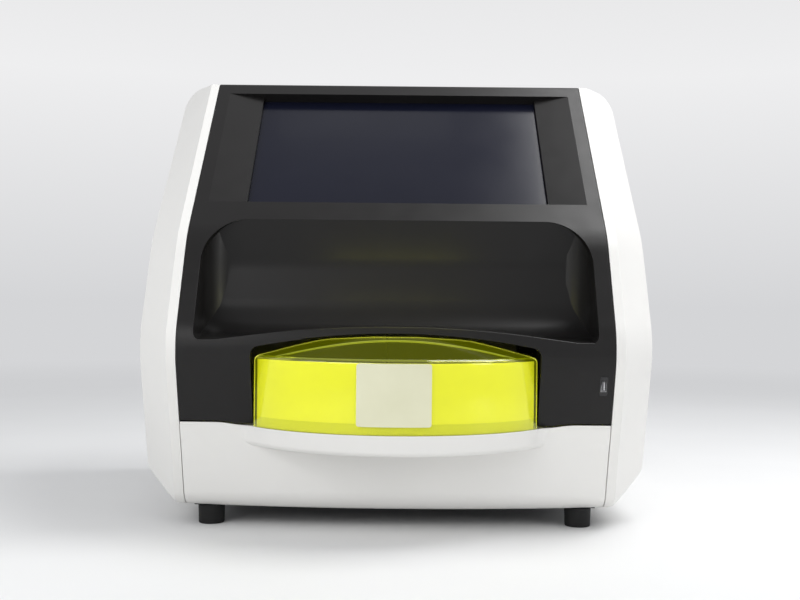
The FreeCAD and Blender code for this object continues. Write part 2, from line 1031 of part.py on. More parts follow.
def make_hood():
    radius = d.hood_radius
    core = d.hood_core
    wall = d.hood_wall
    high = d.hood_shoulder
    peak = high + d.hood_slope * (radius - core)
    corners = [
        (d.hub_y - radius, d.hood_low),
        (d.hub_y - radius, high, d.hood_bend),
        (d.hub_y - core, peak),
        (d.hub_y - core, peak - wall),
        (d.hub_y - radius + wall, high - wall, d.hood_bend - wall),
        (d.hub_y - radius + wall, d.hood_low),
    ]
    sketch = outline("hood_profile", "side", 0, corners)
    whole = revolve("hood_turned", sketch, 0, d.hub_y, sector_angle(d.hood_half, radius))
    rear = box(
        "hood_rear",
        (-half_width, d.hood_rear_y, high - wall - d.hood_bend),
        (d.body_width, d.body_width, peak),
    )
    inside = doc.addObject("Part::Cylinder", "hood_inside")
    bind(inside, "Radius", radius - wall)
    bind(inside, "Height", d.body_height)
    put(inside, 0, d.hub_y, 0)
    node("drawer_hood", cut("hood_solid", whole, common("hood_rear_cut", rear, inside)))
    outer = radius - wall - d.liner_gap
    face = d.hub_y - outer
    step = d.liner_step
    thick = d.liner_wall
    top = high - wall - d.slide_play * 2
    liner_corners = [
        (face, d.liner_low),
        (face, top),
        (face + thick, top),
        (face + thick, d.liner_low + thick),
        (face + step + thick, d.liner_low + thick),
        (face + step + thick, d.hood_low),
        (face + step, d.hood_low),
        (face + step, d.liner_low),
    ]
    sketch = outline("liner_profile", "side", 0, liner_corners)
    sector = sector_angle(d.hood_half - d.liner_short, outer)
    node("hood_liner", revolve("liner_solid", sketch, 0, d.hub_y, sector))


def lip_corners(inset):
    """Plan of the lip: round the hood, then an S-curve out to each seam."""
    radius = d.hood_radius - d.panel_gap
    end = root(d.hood_radius * d.hood_radius - d.hood_half * d.hood_half)
    apex = d.hub_y - d.hood_radius * d.hood_radius / end
    slope = d.hood_half / (d.hub_y - end - apex)
    knee_x = d.hood_half + (d.lip_seam_y - (d.hub_y - end)) * slope
    half = trim_half - inset
    back = d.frame_front_y
    return [
        (-half, back),
        (-half, d.lip_seam_y + inset),
        (-knee_x + inset, d.lip_seam_y + inset, d.lip_root_round),
        (0, apex + inset * 1.2, radius),
        (knee_x - inset, d.lip_seam_y + inset, d.lip_root_round),
        (half, d.lip_seam_y + inset),
        (half, back),
    ]


def leaning_prism(name, top, drop, corners):
    """A plan outline run down and back, parallel to the lower front's slope."""
    solid = doc.addObject("Part::Extrusion", name)
    solid.Base = outline(name + "_outline", "plan", top, corners)
    solid.DirMode = "Custom"
    solid.Dir = Vector(0, lower_slope.number, -1)
    solid.setExpression("Dir.y", lower_slope.formula)
    solid.Solid = True
    bind(solid, "LengthFwd", drop * root(lower_slope * lower_slope + 1))
    return solid


def round_low_edges(name, solid, low, front_y, radius):
    """Rounds the bottom face's edges that lie in front of a line."""
    doc.recompute()
    chosen = []
    for i, edge in enumerate(solid.Shape.Edges, start=1):
        middle = edge.valueAt((edge.FirstParameter + edge.LastParameter) / 2)
        spots = [middle] + [vertex.Point for vertex in edge.Vertexes]
        on_bottom = all(abs(spot.z - low.number) < 0.01 for spot in spots)
        if on_bottom and middle.y < front_y.number:
            chosen.append((i, radius.number, radius.number))
    rounded = doc.addObject("Part::Fillet", name)
    rounded.Base = solid
    rounded.Edges = chosen
    return rounded


def front_section(name, z, shift, half):
    """Plan of the lower front at a height: straight at the seams, bulged between them."""
    share = (d.drawer_top - z) / (d.drawer_top - d.body_floor)
    bulge = d.top_bulge + (d.toe_bulge - d.top_bulge) * share
    y = face_y(z) + shift
    corners = [
        (-half, d.frame_front_y),
        (-half, y),
        (0, y - bulge * 2, d.toe_arc * d.toe_bulge / bulge),
        (half, y),
        (half, d.frame_front_y),
    ]
    return outline(name, "plan", z, corners)


def front_form(name, shift, low, high, half, radius):
    """The lower front as a solid, with its toe rounded."""
    loft = doc.addObject("Part::Loft", name + "_loft")
    loft.Sections = [
        front_section(name + "_low", low, shift, half),
        front_section(name + "_high", high, shift, half),
    ]
    loft.Solid = True
    loft.Ruled = True
    return round_low_edges(name, loft, low, face_y(low) + shift - 0.01, radius)


def make_drawer():
    low = d.body_floor
    outer = front_form("front_outer", Size(0), low, d.drawer_top, trim_half, d.toe_round)
    inner = front_form(
        "front_inner",
        d.slant_wall,
        low + d.wall,
        d.drawer_top + d.wall,
        trim_half + bite,
        d.toe_round - d.wall,
    )
    panel = cut("front_panel", outer, inner)
    under = d.hood_low - d.lip_thick
    lip_front = face_y(under) + (d.lip_seam_y - face_y(d.hood_low)) + bite
    lip = round_low_edges(
        "lip_solid",
        leaning_prism("lip_block", d.hood_low, d.lip_thick, lip_corners(0)),
        under,
        lip_front,
        d.lip_round,
    )
    lip_room = box(
        "lip_room",
        (-half_width, -half_width * 2, 0),
        (d.body_width, half_width * 2 + d.tray_front_y, d.body_height),
    )
    hollow = leaning_prism(
        "lip_hollow",
        d.hood_low - d.lip_top_wall,
        d.lip_thick - d.lip_top_wall - d.lip_shell,
        lip_corners(d.lip_shell),
    )
    block = fuse("front_raw", panel, common("lip_shelf", lip, lip_room))
    room = prism(
        "drawer_room",
        "front",
        -half_width,
        half_width + d.frame_front_y - d.panel_gap,
        dipped_corners(d.drawer_top, Size(0)),
    )
    whole = common("front_trimmed", cut("front_hollowed", block, hollow), room)
    notch_half = d.foot_radius + d.tab_edge + d.panel_gap
    notch_front = d.tab_front_y - d.panel_gap
    notches = [
        box(
            f"foot_notch_{i}",
            (d.foot_x * side - notch_half, notch_front, 0),
            (notch_half * 2, past, chassis_top + d.panel_gap),
        )
        for i, side in enumerate((-1, 1))
    ]
    node("drawer_front", cut("drawer_front_solid", whole, *notches))
    make_tray()


def make_tray():
    wall = d.tray_wall
    front = d.tray_front_y
    depth = d.tray_back_y - front
    outer = box(
        "tray_outer",
        (-d.tray_half, front, d.tray_floor),
        (d.tray_half * 2, depth, d.hood_low - d.tray_floor),
    )
    inner = box(
        "tray_inner",
        (-d.tray_half + wall, front + wall, d.tray_floor + wall),
        ((d.tray_half - wall) * 2, depth - wall * 2, d.hood_low),
    )
    bore = cylinder(
        "tray_bore", (0, d.hub_y, 0), "z", d.spindle_radius + d.slide_inner, d.hood_low
    )
    node("drawer_tray", cut("tray_solid", outer, inner, bore))
    slides_z = d.tray_floor + wall
    start = front + d.slide_inset
    member = box(
        "slide_inner_right",
        (d.tray_half, start, slides_z),
        (d.slide_inner, d.drawer_travel + d.slide_hold, d.slide_height),
    )
    node("drawer_slides", group("slides_moving", member, mirror("slide_inner_left", member)))
    outer_x = d.tray_half + d.slide_inner + d.slide_play
    reach = back_inner - d.slide_inset / 2 - start
    rail = box("rail_raw", (outer_x, start, slides_z), (d.slide_outer, reach, d.slide_height))
    web = box(
        "rail_web",
        (outer_x + d.slide_outer - d.slide_web, start, chassis_top),
        (d.slide_web, reach, slides_z - chassis_top + bite),
    )
    bracket = fuse("rail_right", rail, web)
    node("slide_rails", group("rails_fixed", bracket, mirror("rail_left", bracket)))


def make_carousel():
    height = d.carousel_high - d.carousel_low
    deep = height - d.carousel_floor
    body = doc.addObject("PartDesign::Body", "CarouselBody")
    plane = next(f for f in body.Origin.OriginFeatures if f.Role == "XY_Plane")
    disc = body.newObject("Sketcher::SketchObject", "disc_outline")
    disc.AttachmentSupport = [(plane, "")]
    disc.MapMode = "FlatFace"
    for radius in (d.carousel_radius, d.spindle_radius):
        ring = disc.addGeometry(Part.Circle(Vector(0, 0, 0), Vector(0, 0, 1), radius.number))
        disc.addConstraint(Sketcher.Constraint("Coincident", ring, 3, -1, 1))
        held = disc.addConstraint(Sketcher.Constraint("Radius", ring, radius.number))
        disc.setExpression(f"Constraints[{held}]", radius.formula)
    pad = body.newObject("PartDesign::Pad", "disc")
    pad.Profile = disc
    bind(pad, "Length", height)
    doc.recompute()
    rings = (
        ("well", d.well_ring, d.well_radius, d.well_count),
        ("vial", d.vial_ring, d.vial_radius, d.vial_count),
        ("relief", d.relief_ring, d.relief_radius, d.relief_count),
    )
    for name, ring, radius, count in rings:
        hole = body.newObject("Sketcher::SketchObject", name + "_outline")
        hole.AttachmentSupport = [(plane, "")]
        hole.MapMode = "FlatFace"
        hole.AttachmentOffset = Placement(Vector(0, 0, height.number), Rotation())
        hole.setExpression("AttachmentOffset.Base.z", height.formula)
        circle = hole.addGeometry(
            Part.Circle(Vector(ring.number, 0, 0), Vector(0, 0, 1), radius.number)
        )
        hole.addConstraint(Sketcher.Constraint("PointOnObject", circle, 3, -1))
        held = hole.addConstraint(
            Sketcher.Constraint("DistanceX", -1, 1, circle, 3, ring.number)
        )
        hole.setExpression(f"Constraints[{held}]", ring.formula)
        held = hole.addConstraint(Sketcher.Constraint("Radius", circle, radius.number))
        hole.setExpression(f"Constraints[{held}]", radius.formula)
        pocket = body.newObject("PartDesign::Pocket", name)
        pocket.Profile = hole
        bind(pocket, "Length", deep)
        doc.recompute()
        pattern = body.newObject("PartDesign::PolarPattern", name + "_ring")
        pattern.Originals = [pocket]
        axis = next(f for f in body.Origin.OriginFeatures if f.Role == "Z_Axis")
        pattern.Axis = (axis, [""])
        pattern.Angle = 360
        pattern.Occurrences = int(count.number)
        pattern.setExpression("Occurrences", count.formula)
        body.Tip = pattern
        doc.recompute()
    put(body, 0, d.hub_y, d.carousel_low)
    node("sample_carousel", body)
    low = d.tray_floor + d.tray_wall
    start = low + d.tray_wall
    spindle = fuse(
        "spindle_raw",
        cylinder(
            "spindle_bar",
            (0, d.hub_y, start),
            "z",
            d.spindle_radius,
            d.carousel_high + d.spindle_rise - start,
        ),
        cylinder(
            "spindle_cap_disc",
            (0, d.hub_y, d.carousel_high),
            "z",
            d.spindle_cap,
            d.spindle_cap_thick,
        ),
    )
    node("carousel_spindle", spindle)
    length = d.carousel_low - low - d.bearing_play
    housing = cylinder("bearing_out", (0, d.hub_y, low), "z", d.bearing_radius, length)
    bore = cylinder(
        "bearing_bore",
        (0, d.hub_y, low - bite),
        "z",
        d.spindle_radius + d.spindle_fit,
        length + bite * 2,
    )
    node("carousel_bearing", cut("bearing_solid", housing, bore))


def make_gantry():
    wall = d.beam_wall
    beam = box(
        "beam_raw", (-inner_x, d.beam_y, beam_z), (inner_x * 2, d.beam_depth, d.beam_height)
    )
    hollow = box(
        "beam_hollow",
        (-inner_x - bite, d.beam_y + wall, beam_z + wall),
        ((inner_x + bite) * 2, d.beam_depth - wall * 2, d.beam_height - wall * 2),
    )
    node("gantry_beam", cut("beam_solid", beam, hollow))
    rail_low = beam_z + (d.beam_height - d.rail_height) / 2
    rail_y = d.beam_y - d.rail_depth
    rail_half = inner_x - d.rail_short
    rail = box(
        "rail_solid", (-rail_half, rail_y, rail_low), (rail_half * 2, d.rail_depth, d.rail_height)
    )
    node("gantry_rail", rail)
    play = d.carriage_play
    width = d.carriage_width
    low = beam_z - d.carriage_skirt
    height = d.beam_height + d.head_lift
    top = low + height
    front = rail_y - d.carriage_thick
    block = box(
        "carriage_raw",
        (-width / 2, front, low),
        (width, d.carriage_thick + d.rail_depth - bite, height),
    )
    groove = box(
        "carriage_groove",
        (-width, rail_y - play, rail_low - play),
        (width * 2, past, d.rail_height + play * 2),
    )
    above = box(
        "carriage_above",
        (-width, rail_y - play, beam_z + d.beam_height - d.lug_thick / 4),
        (width * 2, past, height),
    )
    node("pipettor_carriage", cut("carriage_solid", block, groove, above))
    screw_y = front - d.lug_size / 2
    screw_x = width / 2 - d.screw_side
    hole = d.screw_radius + d.spindle_fit
    lugs = []
    for i, z in enumerate((low, top - d.lug_thick)):
        lug = box(
            f"lug_raw_{i}",
            (screw_x - d.lug_size / 2, front - d.lug_size, z),
            (d.lug_size, d.lug_size, d.lug_thick),
        )
        bore = cylinder(
            f"lug_hole_{i}", (screw_x, screw_y, z - bite), "z", hole, d.lug_thick + bite * 2
        )
        lugs.append(cut(f"lug_{i}", lug, bore))
    node("screw_bearings", group("screw_lugs", *lugs))
    over = d.screw_over
    screw = cylinder(
        "screw_bar", (screw_x, screw_y, low - over), "z", d.screw_radius, height + over * 2
    )
    node("lift_screw", screw)
    size = d.motor_size
    motor = box(
        "lift_motor_solid",
        (screw_x - size / 2, screw_y - size / 2, top + d.motor_stand),
        (size, size, d.motor_height),
    )
    stand = box(
        "lift_motor_stand",
        (screw_x - size / 2, front, top),
        (size, size / 2, d.motor_stand),
    )
    node("lift_motor", fuse("lift_motor_whole", motor, stand))
    head_low = low + d.lug_thick + d.bearing_play
    head_x = -width / 2 + d.head_side
    depth = d.head_width - play
    head = box(
        "head_raw",
        (head_x, front - d.head_width, head_low),
        (d.head_width, depth, d.head_height),
    )
    arm = box(
        "head_arm",
        (head_x + d.head_width - bite, front - d.lug_size, head_low + d.arm_rise),
        (
            screw_x + d.lug_size / 2 - head_x - d.head_width + bite,
            d.lug_size - play,
            d.arm_height,
        ),
    )
    nut_bore = cylinder("head_bore", (screw_x, screw_y, 0), "z", hole, d.body_height)
    node("pipettor_head", cut("head_solid", fuse("head_join", head, arm), nut_bore))
    tip = d.carousel_high + d.needle_clear
    needle = cylinder(
        "needle_bar",
        (head_x + d.head_width / 2, front - d.head_width / 2, tip),
        "z",
        d.needle_radius,
        head_low - tip,
    )
    node("pipettor_needle", needle)


def make_inside():
    low = chassis_top
    supply = box(
        "supply_solid",
        (-inner_x, d.unit_y, low),
        (d.supply_width, d.supply_depth, d.supply_height),
    )
    node("power_supply", supply)
    deck = low + d.stand_height
    board = box(
        "board_raw", (d.board_x, d.board_y, deck), (d.board_width, d.board_depth, d.board_thick)
    )
    inset = d.stand_inset
    stands = [
        cylinder(f"stand_{i}", (x, y, low), "z", d.stand_radius, d.stand_height)
        for i, (x, y) in enumerate(
            (sx, sy)
            for sx in (d.board_x + inset, d.board_x + d.board_width - inset)
            for sy in (d.board_y + inset, d.board_y + d.board_depth - inset)
        )
    ]
    chip_y = d.board_y + d.board_depth / 2
    chips = [
        box(
            "chip",
            (d.board_x + d.chip_size * 2, chip_y, deck + d.board_thick),
            (d.chip_size, d.chip_size, d.chip_thick),
        ),
        box(
            "relay",
            (d.board_x + d.chip_size * 4, chip_y - d.chip_size, deck + d.board_thick),
            (d.chip_size / 2, d.chip_size, d.relay_height),
        ),
    ]
    node("main_board", fuse("board_solid", board, *stands, *chips))
    pump_x = inner_x - d.pump_width
    barrel_x = pump_x + d.pump_width / 2
    barrel_y = d.unit_y + d.pump_depth / 2
    pump_top = low + d.pump_height
    pump = fuse(
        "pump_solid",
        box("pump_body", (pump_x, d.unit_y, low), (d.pump_width, d.pump_depth, d.pump_height)),
        cylinder(
            "pump_barrel", (barrel_x, barrel_y, pump_top), "z", d.barrel_radius, d.barrel_height
        ),
    )
    node("syringe_pump", pump)
    reader_x = inner_x - d.reader_width
    snout_x = reader_x - d.snout_length
    snout_y = d.reader_y + d.reader_depth / 2
    snout_z = d.reader_low + d.reader_height / 2
    reader = fuse(
        "reader_solid",
        box(
            "reader_body",
            (reader_x, d.reader_y, d.reader_low),
            (d.reader_width, d.reader_depth, d.reader_height),
        ),
        cylinder(
            "reader_snout",
            (snout_x, snout_y, snout_z),
            "x",
            d.snout_radius,
            d.snout_length + bite,
        ),
    )
    node("optical_reader", reader)
    lens_low = (snout_x - d.lens_thick, snout_y, snout_z)
    node("reader_lens", cylinder("lens_solid", lens_low, "x", d.lens_radius, d.lens_thick))


def centred_box(name, x, y, z, width, depth, height):
    """A box centred in X and Z, from its front face backwards."""
    return box(name, (x - width / 2, y, z - height / 2), (width, depth, height))


def make_inlet():
    x, z = d.inlet_x, d.service_z
    width, height, deep = d.inlet_width, d.inlet_height, d.inlet_deep
    rim = d.inlet_rim
    wall = d.inlet_wall * 2
    flange = centred_box(
        "inlet_flange", x, service_face, z, width + rim * 2, d.flange_thick, height + rim * 2
    )
    body = centred_box(
        "inlet_body", x, service_inner - deep, z, width, deep + d.rear_sheet + bite, height
    )
    well_y = service_inner - d.inlet_well
    well = centred_box("inlet_well", x, well_y, z, width - wall, past, height - wall)
    pins = [
        centred_box(
            f"inlet_pin_{i}",
            x + d.inlet_pitch * side,
            well_y - bite,
            z + d.inlet_wall * rise,
            d.inlet_pin,
            d.inlet_well,
            d.inlet_pin_height,
        )
        for i, (side, rise) in enumerate(((-1, 0), (0, 1), (1, 0)))
    ]
    hollow = cut("inlet_cut", fuse("inlet_all", flange, body), well)
    node("power_inlet", fuse("inlet_solid", hollow, *pins))


def make_switch():
    x, z = d.switch_x, d.service_z
    width, height, deep = d.switch_width, d.switch_height, d.switch_deep
    rim = d.switch_rim
    wall = d.switch_wall
    flange = centred_box(
        "switch_flange", x, service_face, z, width + rim * 2, d.rocker_half / 5, height + rim * 2
    )
    body = centred_box(
        "switch_body", x, service_inner - deep, z, width, deep + d.rear_sheet + bite, height
    )
    room_y = service_inner - d.switch_well
    room = centred_box("switch_room", x, room_y, z, width - wall * 2, past, height - wall * 2)
    axis_y = service_face - d.rocker_sunk
    half = width / 2
    socket = cylinder(
        "pin_socket",
        (x - half - bite, axis_y, z),
        "x",
        d.rocker_pin + d.rocker_play,
        width + bite * 2,
    )
    node("switch_frame", cut("switch_solid", fuse("switch_all", flange, body), room, socket))
    reach = half - wall - d.rocker_play
    corners = [
        (0, -d.rocker_half),
        (d.rocker_proud, -d.rocker_half),
        (d.rocker_waist, 0),
        (d.rocker_proud, d.rocker_half),
        (0, d.rocker_half),
        (-d.rocker_root, 0),
    ]
    pin_half = half - wall / 2
    rocker = fuse(
        "rocker_whole",
        prism("rocker_raw", "side", -reach, reach * 2, corners),
        cylinder("rocker_pin_bar", (-pin_half, 0, 0), "x", d.rocker_pin, pin_half * 2),
    )
    turned = doc.addObject("Part::Compound", "rocker_turned")
    turned.Links = [rocker]
    turned.Placement = Placement(Vector(0, 0, 0), Rotation(Vector(1, 0, 0), -8))
    node("power_rocker", put(turned, x, axis_y, z))


def make_ports():
    x, z = d.port_x, d.port_z
    deep = d.port_deep
    block = centred_box(
        "ports_raw",
        x,
        service_inner - deep,
        z,
        d.port_width,
        deep + d.rear_sheet + bite,
        d.port_height,
    )
    well_y = service_inner - d.port_well
    net_x = x - d.port_width / 2 + d.inlet_wall + d.net_width / 2
    wells = [
        centred_box("net_well", net_x, well_y, z, d.net_width, past, d.net_height),
    ]
    for i in range(2):
        usb_x = net_x + d.net_width / 2 + d.usb_pitch * (i + 1) - d.usb_width / 2
        wells.append(
            centred_box(f"usb_well_{i}", usb_x, well_y, z, d.usb_width, past, d.usb_height)
        )
    node("rear_ports", cut("ports_solid", block, *wells))


def make_feet():
    feet = []
    screws = []
    spots = [(side, y) for side in (-1, 1) for y in (d.foot_front_y, d.foot_rear_y)]
    deep = d.foot_bore_depth
    for i, (side, y) in enumerate(spots):
        cone = doc.addObject("Part::Cone", f"foot_{i}")
        bind(cone, "Radius1", d.foot_radius - d.foot_taper)
        bind(cone, "Radius2", d.foot_radius)
        bind(cone, "Height", d.body_floor)
        put(cone, d.foot_x * side, y, 0)
        bore = cylinder(
            f"foot_bore_{i}", (d.foot_x * side, y, -bite), "z", d.foot_bore, deep + bite
        )
        feet.append(cut(f"foot_cut_{i}", cone, bore))
        head = (d.foot_x * side, y, deep - d.foot_screw_thick)
        screws.append(
            cylinder(f"foot_screw_{i}", head, "z", d.foot_screw, d.foot_screw_thick)
        )
    node("rubber_feet", group("feet_all", *feet))
    node("foot_screws", group("foot_screws_all", *screws))


def spun_box(name, centre, turn, low, size):
    """A box turned about a Y axis through the centre, from a corner in the turned frame."""
    solid = doc.addObject("Part::Box", name)
    for prop, value in zip(("Length", "Width", "Height"), size):
        bind(solid, prop, value)
    solid.Placement = Placement(Vector(0, 0, 0), Rotation(Vector(0, 1, 0), turn))
    c = math.cos(math.radians(turn))
    s = math.sin(math.radians(turn))
    u, v, w = low
    x, y, z = centre
    return put(solid, x + u * c + w * s, y + v, z - u * s + w * c)


def fan_frame(word, x, y):
    """Square frame round the duct, with a hub and a shaft pin on four arms."""
    half = d.fan_size / 2
    duct_radius = half - d.fan_rim
    square = centred_box(f"{word}_fan_raw", x, y, fan_z, d.fan_size, d.fan_depth, d.fan_size)
    duct = cylinder(
        f"{word}_duct", (x, y - bite, fan_z), "y", duct_radius, d.fan_depth + bite * 2
    )
    hub = cylinder(f"{word}_stator", (x, y, fan_z), "y", d.fan_hub, d.fan_stator)
    start = d.fan_hub / 2
    arms = [
        spun_box(
            f"{word}_arm_{i}",
            (x, y, fan_z),
            45 + 90 * i,
            (-d.fan_arm / 2, 0, start),
            (d.fan_arm, d.fan_arm_thick, duct_radius - start + bite),
        )
        for i in range(4)
    ]
    pin = cylinder(
        f"{word}_pin", (x, y, fan_z), "y", d.fan_shaft, d.fan_depth - d.fan_pin_short
    )
    return fuse(f"{word}_fan_solid", cut(f"{word}_fan_ring", square, duct), hub, pin, *arms)


def fan_rotor(word, x, y):
    """Hub cup with straight blades round it."""
    length = d.fan_depth - d.fan_pin_short
    hub = cylinder(f"{word}_rotor_hub", (x, y, fan_z), "y", d.fan_hub - bite, length)
    bore = cylinder(
        f"{word}_rotor_bore",
        (x, y - bite, fan_z),
        "y",
        d.fan_shaft + d.spindle_fit,
        length - bite * 2,
    )
    start = d.fan_hub - bite * 3
    reach = d.fan_size / 2 - d.fan_rim - d.fan_play
    count = int(d.blade_count.number)
    blades = [
        spun_box(
            f"{word}_blade_{i}",
            (x, y, fan_z),
            360.0 * i / count,
            (-d.blade_thick / 2, d.blade_thick, start),
            (d.blade_thick, d.blade_depth, reach - start),
        )
        for i in range(count)
    ]
    return cut(f"{word}_rotor", fuse(f"{word}_rotor_all", hub, *blades), bore)


def fan_guard(word, x, y):
    """Wire rings on crossed bars over the fan hole."""
    wire = d.guard_wire
    bar = d.guard_bar
    pieces = []
    for i in range(3):
        ring = doc.addObject("Part::Torus", f"{word}_guard_ring_{i}")
        bind(ring, "Radius1", (d.fan_size / 2 - d.fan_rim * 2) * (i + 1) / 3)
        bind(ring, "Radius2", wire)
        ring.Placement = Placement(Vector(0, 0, 0), TURNS["y"])
        put(ring, x, y + wire, fan_z)
        pieces.append(ring)
    reach = d.guard_reach
    for i, turn in enumerate((45, 135)):
        low = (-reach, 0, -bar / 2)
        pieces.append(
            spun_box(f"{word}_guard_bar_{i}", (x, y, fan_z), turn, low, (reach * 2, bar, bar))
        )
    return fuse(f"{word}_guard", *pieces)


def make_fans():
    low_y = back_inner - d.fan_depth
    rotor_y = low_y + d.fan_stator + d.bearing_play
    for side, word in ((-1, "left"), (1, "right")):
        x = d.fan_x * side
        node(f"{word}_fan_frame", fan_frame(word, x, low_y))
        node(f"{word}_fan_rotor", fan_rotor(word, x, rotor_y))
        node(f"{word}_fan_guard", fan_guard(word, x, rear_face))


make_side_shells()
make_fascia()
make_covers()
make_frame()
make_hood()
make_drawer()
make_carousel()
make_gantry()
make_inside()
make_inlet()
make_switch()
make_ports()
make_fans()
make_feet()

doc.recompute()
faults = [o.Name for o in doc.Objects if {"Invalid", "Error"} & set(o.State)]
if faults:
    raise RuntimeError("features failed: " + ", ".join(faults))
os.makedirs("parts", exist_ok=True)
for name, solid in nodes.items():
    shape = solid.Shape
    if shape.isNull() or not shape.isValid() or not shape.Solids:
        raise RuntimeError("bad shape: " + name)
    shape.exportStep(f"parts/{name}.step")
    print(name, len(shape.Solids), round(shape.Volume / 1000, 1), shape.BoundBox)
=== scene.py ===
# %% [markdown]
# # A bench analyzer, dressed over its construction model
# The construction model gives every piece at its real size. This lesson adds what the eye
# wants: softened edges, moulded plastics, a fluorescent acrylic hood, and the light of a
# plain studio. The first cell loads the frame. All sizes are in metres, and MM makes metres
# of millimetres.

# %% Load the frame
import json
import math
import bmesh
import bpy
from mathutils import Matrix, Vector


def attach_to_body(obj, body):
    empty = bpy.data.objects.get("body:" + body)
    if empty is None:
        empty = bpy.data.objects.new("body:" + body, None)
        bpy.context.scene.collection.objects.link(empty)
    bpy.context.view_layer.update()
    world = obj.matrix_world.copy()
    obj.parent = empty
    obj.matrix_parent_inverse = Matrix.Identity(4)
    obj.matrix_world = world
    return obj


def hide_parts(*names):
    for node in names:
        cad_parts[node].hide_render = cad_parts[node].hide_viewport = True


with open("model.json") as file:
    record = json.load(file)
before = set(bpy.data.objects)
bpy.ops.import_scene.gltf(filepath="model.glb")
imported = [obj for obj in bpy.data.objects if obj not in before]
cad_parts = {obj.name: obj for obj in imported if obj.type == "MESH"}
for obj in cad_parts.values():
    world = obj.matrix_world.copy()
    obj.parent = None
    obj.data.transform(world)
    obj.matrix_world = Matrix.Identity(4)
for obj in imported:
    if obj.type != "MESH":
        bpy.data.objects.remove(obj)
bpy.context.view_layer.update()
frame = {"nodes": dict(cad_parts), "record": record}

BODY_OF = {
    node: body
    for body, nodes in frame["record"]["behaviour"]["bodies"].items()
    for node in nodes
}
SLOT_OF = {entry["node"]: entry["material_slot"] for entry in frame["record"]["subparts"]}
MM = 0.001

# %% [markdown]
# ## Camera
# The photograph was taken level, a little below the middle of the machine, from about
# 1.4 m in front of its crest. The focal length follows from the perspective of the bench.
# The picture leans by half a degree, and the horizon lies just under the middle, which a
# very small shift gives without tilting the camera.

# %% Camera
CREST_Y = -0.2565
CAMERA_BACK = 1.420
CAMERA_HEIGHT = 0.3013
CAMERA_SIDE = 0.0047
FOCAL_PIXELS = 1100
IMAGE_WIDTH = 800
HORIZON_DROP_PIXELS = 5.1
ROLL_DEGREES = 0.57
SENSOR_WIDTH_MM = 36

camera_data = bpy.data.cameras.new("camera")
camera_data.sensor_width = SENSOR_WIDTH_MM
camera_data.lens = FOCAL_PIXELS / IMAGE_WIDTH * SENSOR_WIDTH_MM
camera_data.shift_y = HORIZON_DROP_PIXELS / IMAGE_WIDTH
camera = bpy.data.objects.new("camera", camera_data)
bpy.context.scene.collection.objects.link(camera)
level = Matrix.Rotation(math.radians(90), 4, "X")
roll = Matrix.Rotation(math.radians(ROLL_DEGREES), 4, "Z")
stand = Matrix.Translation((CAMERA_SIDE, CREST_Y - CAMERA_BACK, CAMERA_HEIGHT))
camera.matrix_world = stand @ level @ roll
bpy.context.scene.camera = camera
bpy.context.scene.view_settings.view_transform = "Standard"
print("lens:", round(camera_data.lens, 1), "mm")

# %% [markdown]
# ## Small helpers for modelling by hand
# Operators act on whatever is selected, so each helper starts by selecting nothing. Faces
# and edges are picked in code by where they lie, which is what a hand would do with the
# mouse.


# %% Selection helpers
def select_nothing():
    if bpy.context.object and bpy.context.object.mode != "OBJECT":
        bpy.ops.object.mode_set(mode="OBJECT")
    bpy.ops.object.select_all(action="DESELECT")


def work_on(piece):
    select_nothing()
    piece.select_set(True)
    bpy.context.view_layer.objects.active = piece


def edit(piece):
    work_on(piece)
    bpy.ops.object.mode_set(mode="EDIT")


def pick(piece, kind, test):
    """In edit mode, select only the vertices, edges or faces that pass the test."""
    bpy.ops.mesh.select_mode(type={"verts": "VERT", "edges": "EDGE", "faces": "FACE"}[kind])
    bpy.ops.mesh.select_all(action="DESELECT")
    mesh = bmesh.from_edit_mesh(piece.data)
    count = 0
    for part in getattr(mesh, kind):
        if test(part):
            part.select_set(True)
            count += 1
    mesh.select_flush_mode()
    bmesh.update_edit_mesh(piece.data)
    return count


def done():
    bpy.ops.object.mode_set(mode="OBJECT")


# %% [markdown]
# ## Small helpers for finishing a piece
# Modifiers are applied as soon as they are set, so that what a later step picks is the real
# mesh.

# %% Mesh helpers
SMOOTH_MARGIN = 12


def settle(piece):
    """Moves the piece's place into its mesh."""
    work_on(piece)
    bpy.ops.object.transform_apply(location=True, rotation=True, scale=True)


def apply_modifiers(piece):
    work_on(piece)
    for modifier in list(piece.modifiers):
        bpy.ops.object.modifier_apply(modifier=modifier.name)


def round_edges(piece, width, segments, angle):
    """Rounds every edge sharper than the angle, in degrees, and shades the rest smoothly.

    Weighted normals keep a large flat face evenly lit right up to its bevels.
    """
    bevel = piece.modifiers.new("round", "BEVEL")
    bevel.width = width
    bevel.segments = segments
    bevel.limit_method = "ANGLE"
    bevel.angle_limit = math.radians(angle)
    bevel.use_clamp_overlap = True
    apply_modifiers(piece)
    smooth_below = math.radians(angle + SMOOTH_MARGIN)
    bpy.ops.object.shade_smooth_by_angle(angle=smooth_below, keep_sharp_edges=True)
    weigh = piece.modifiers.new("weigh", "WEIGHTED_NORMAL")
    weigh.keep_sharp = True
    apply_modifiers(piece)


def attach(piece, body, slot, material, *replaced):
    """Gives a finished piece its body and its material. The slot is not used."""
    piece.data.materials.clear()
    piece.data.materials.append(material)
    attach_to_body(piece, body)
    if replaced:
        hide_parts(*replaced)
    print("made", piece.name, "faces:", len(piece.data.polygons))


# %% [markdown]
# ## Finishes
# A moulded plastic is never one flat colour. A slow noise shifts its tone a little, a fine
# noise breaks up its gloss, and a finer one gives the grain of the mould as a bump. All of
# it reads Object coordinates, so the pattern stays on the piece when it moves. Numbers
# that are the same all over, such as the sheen of a coat, are set on the shader itself.

# %% Finish helpers
NOISE_LOW = 0.3
NOISE_HIGH = 0.7


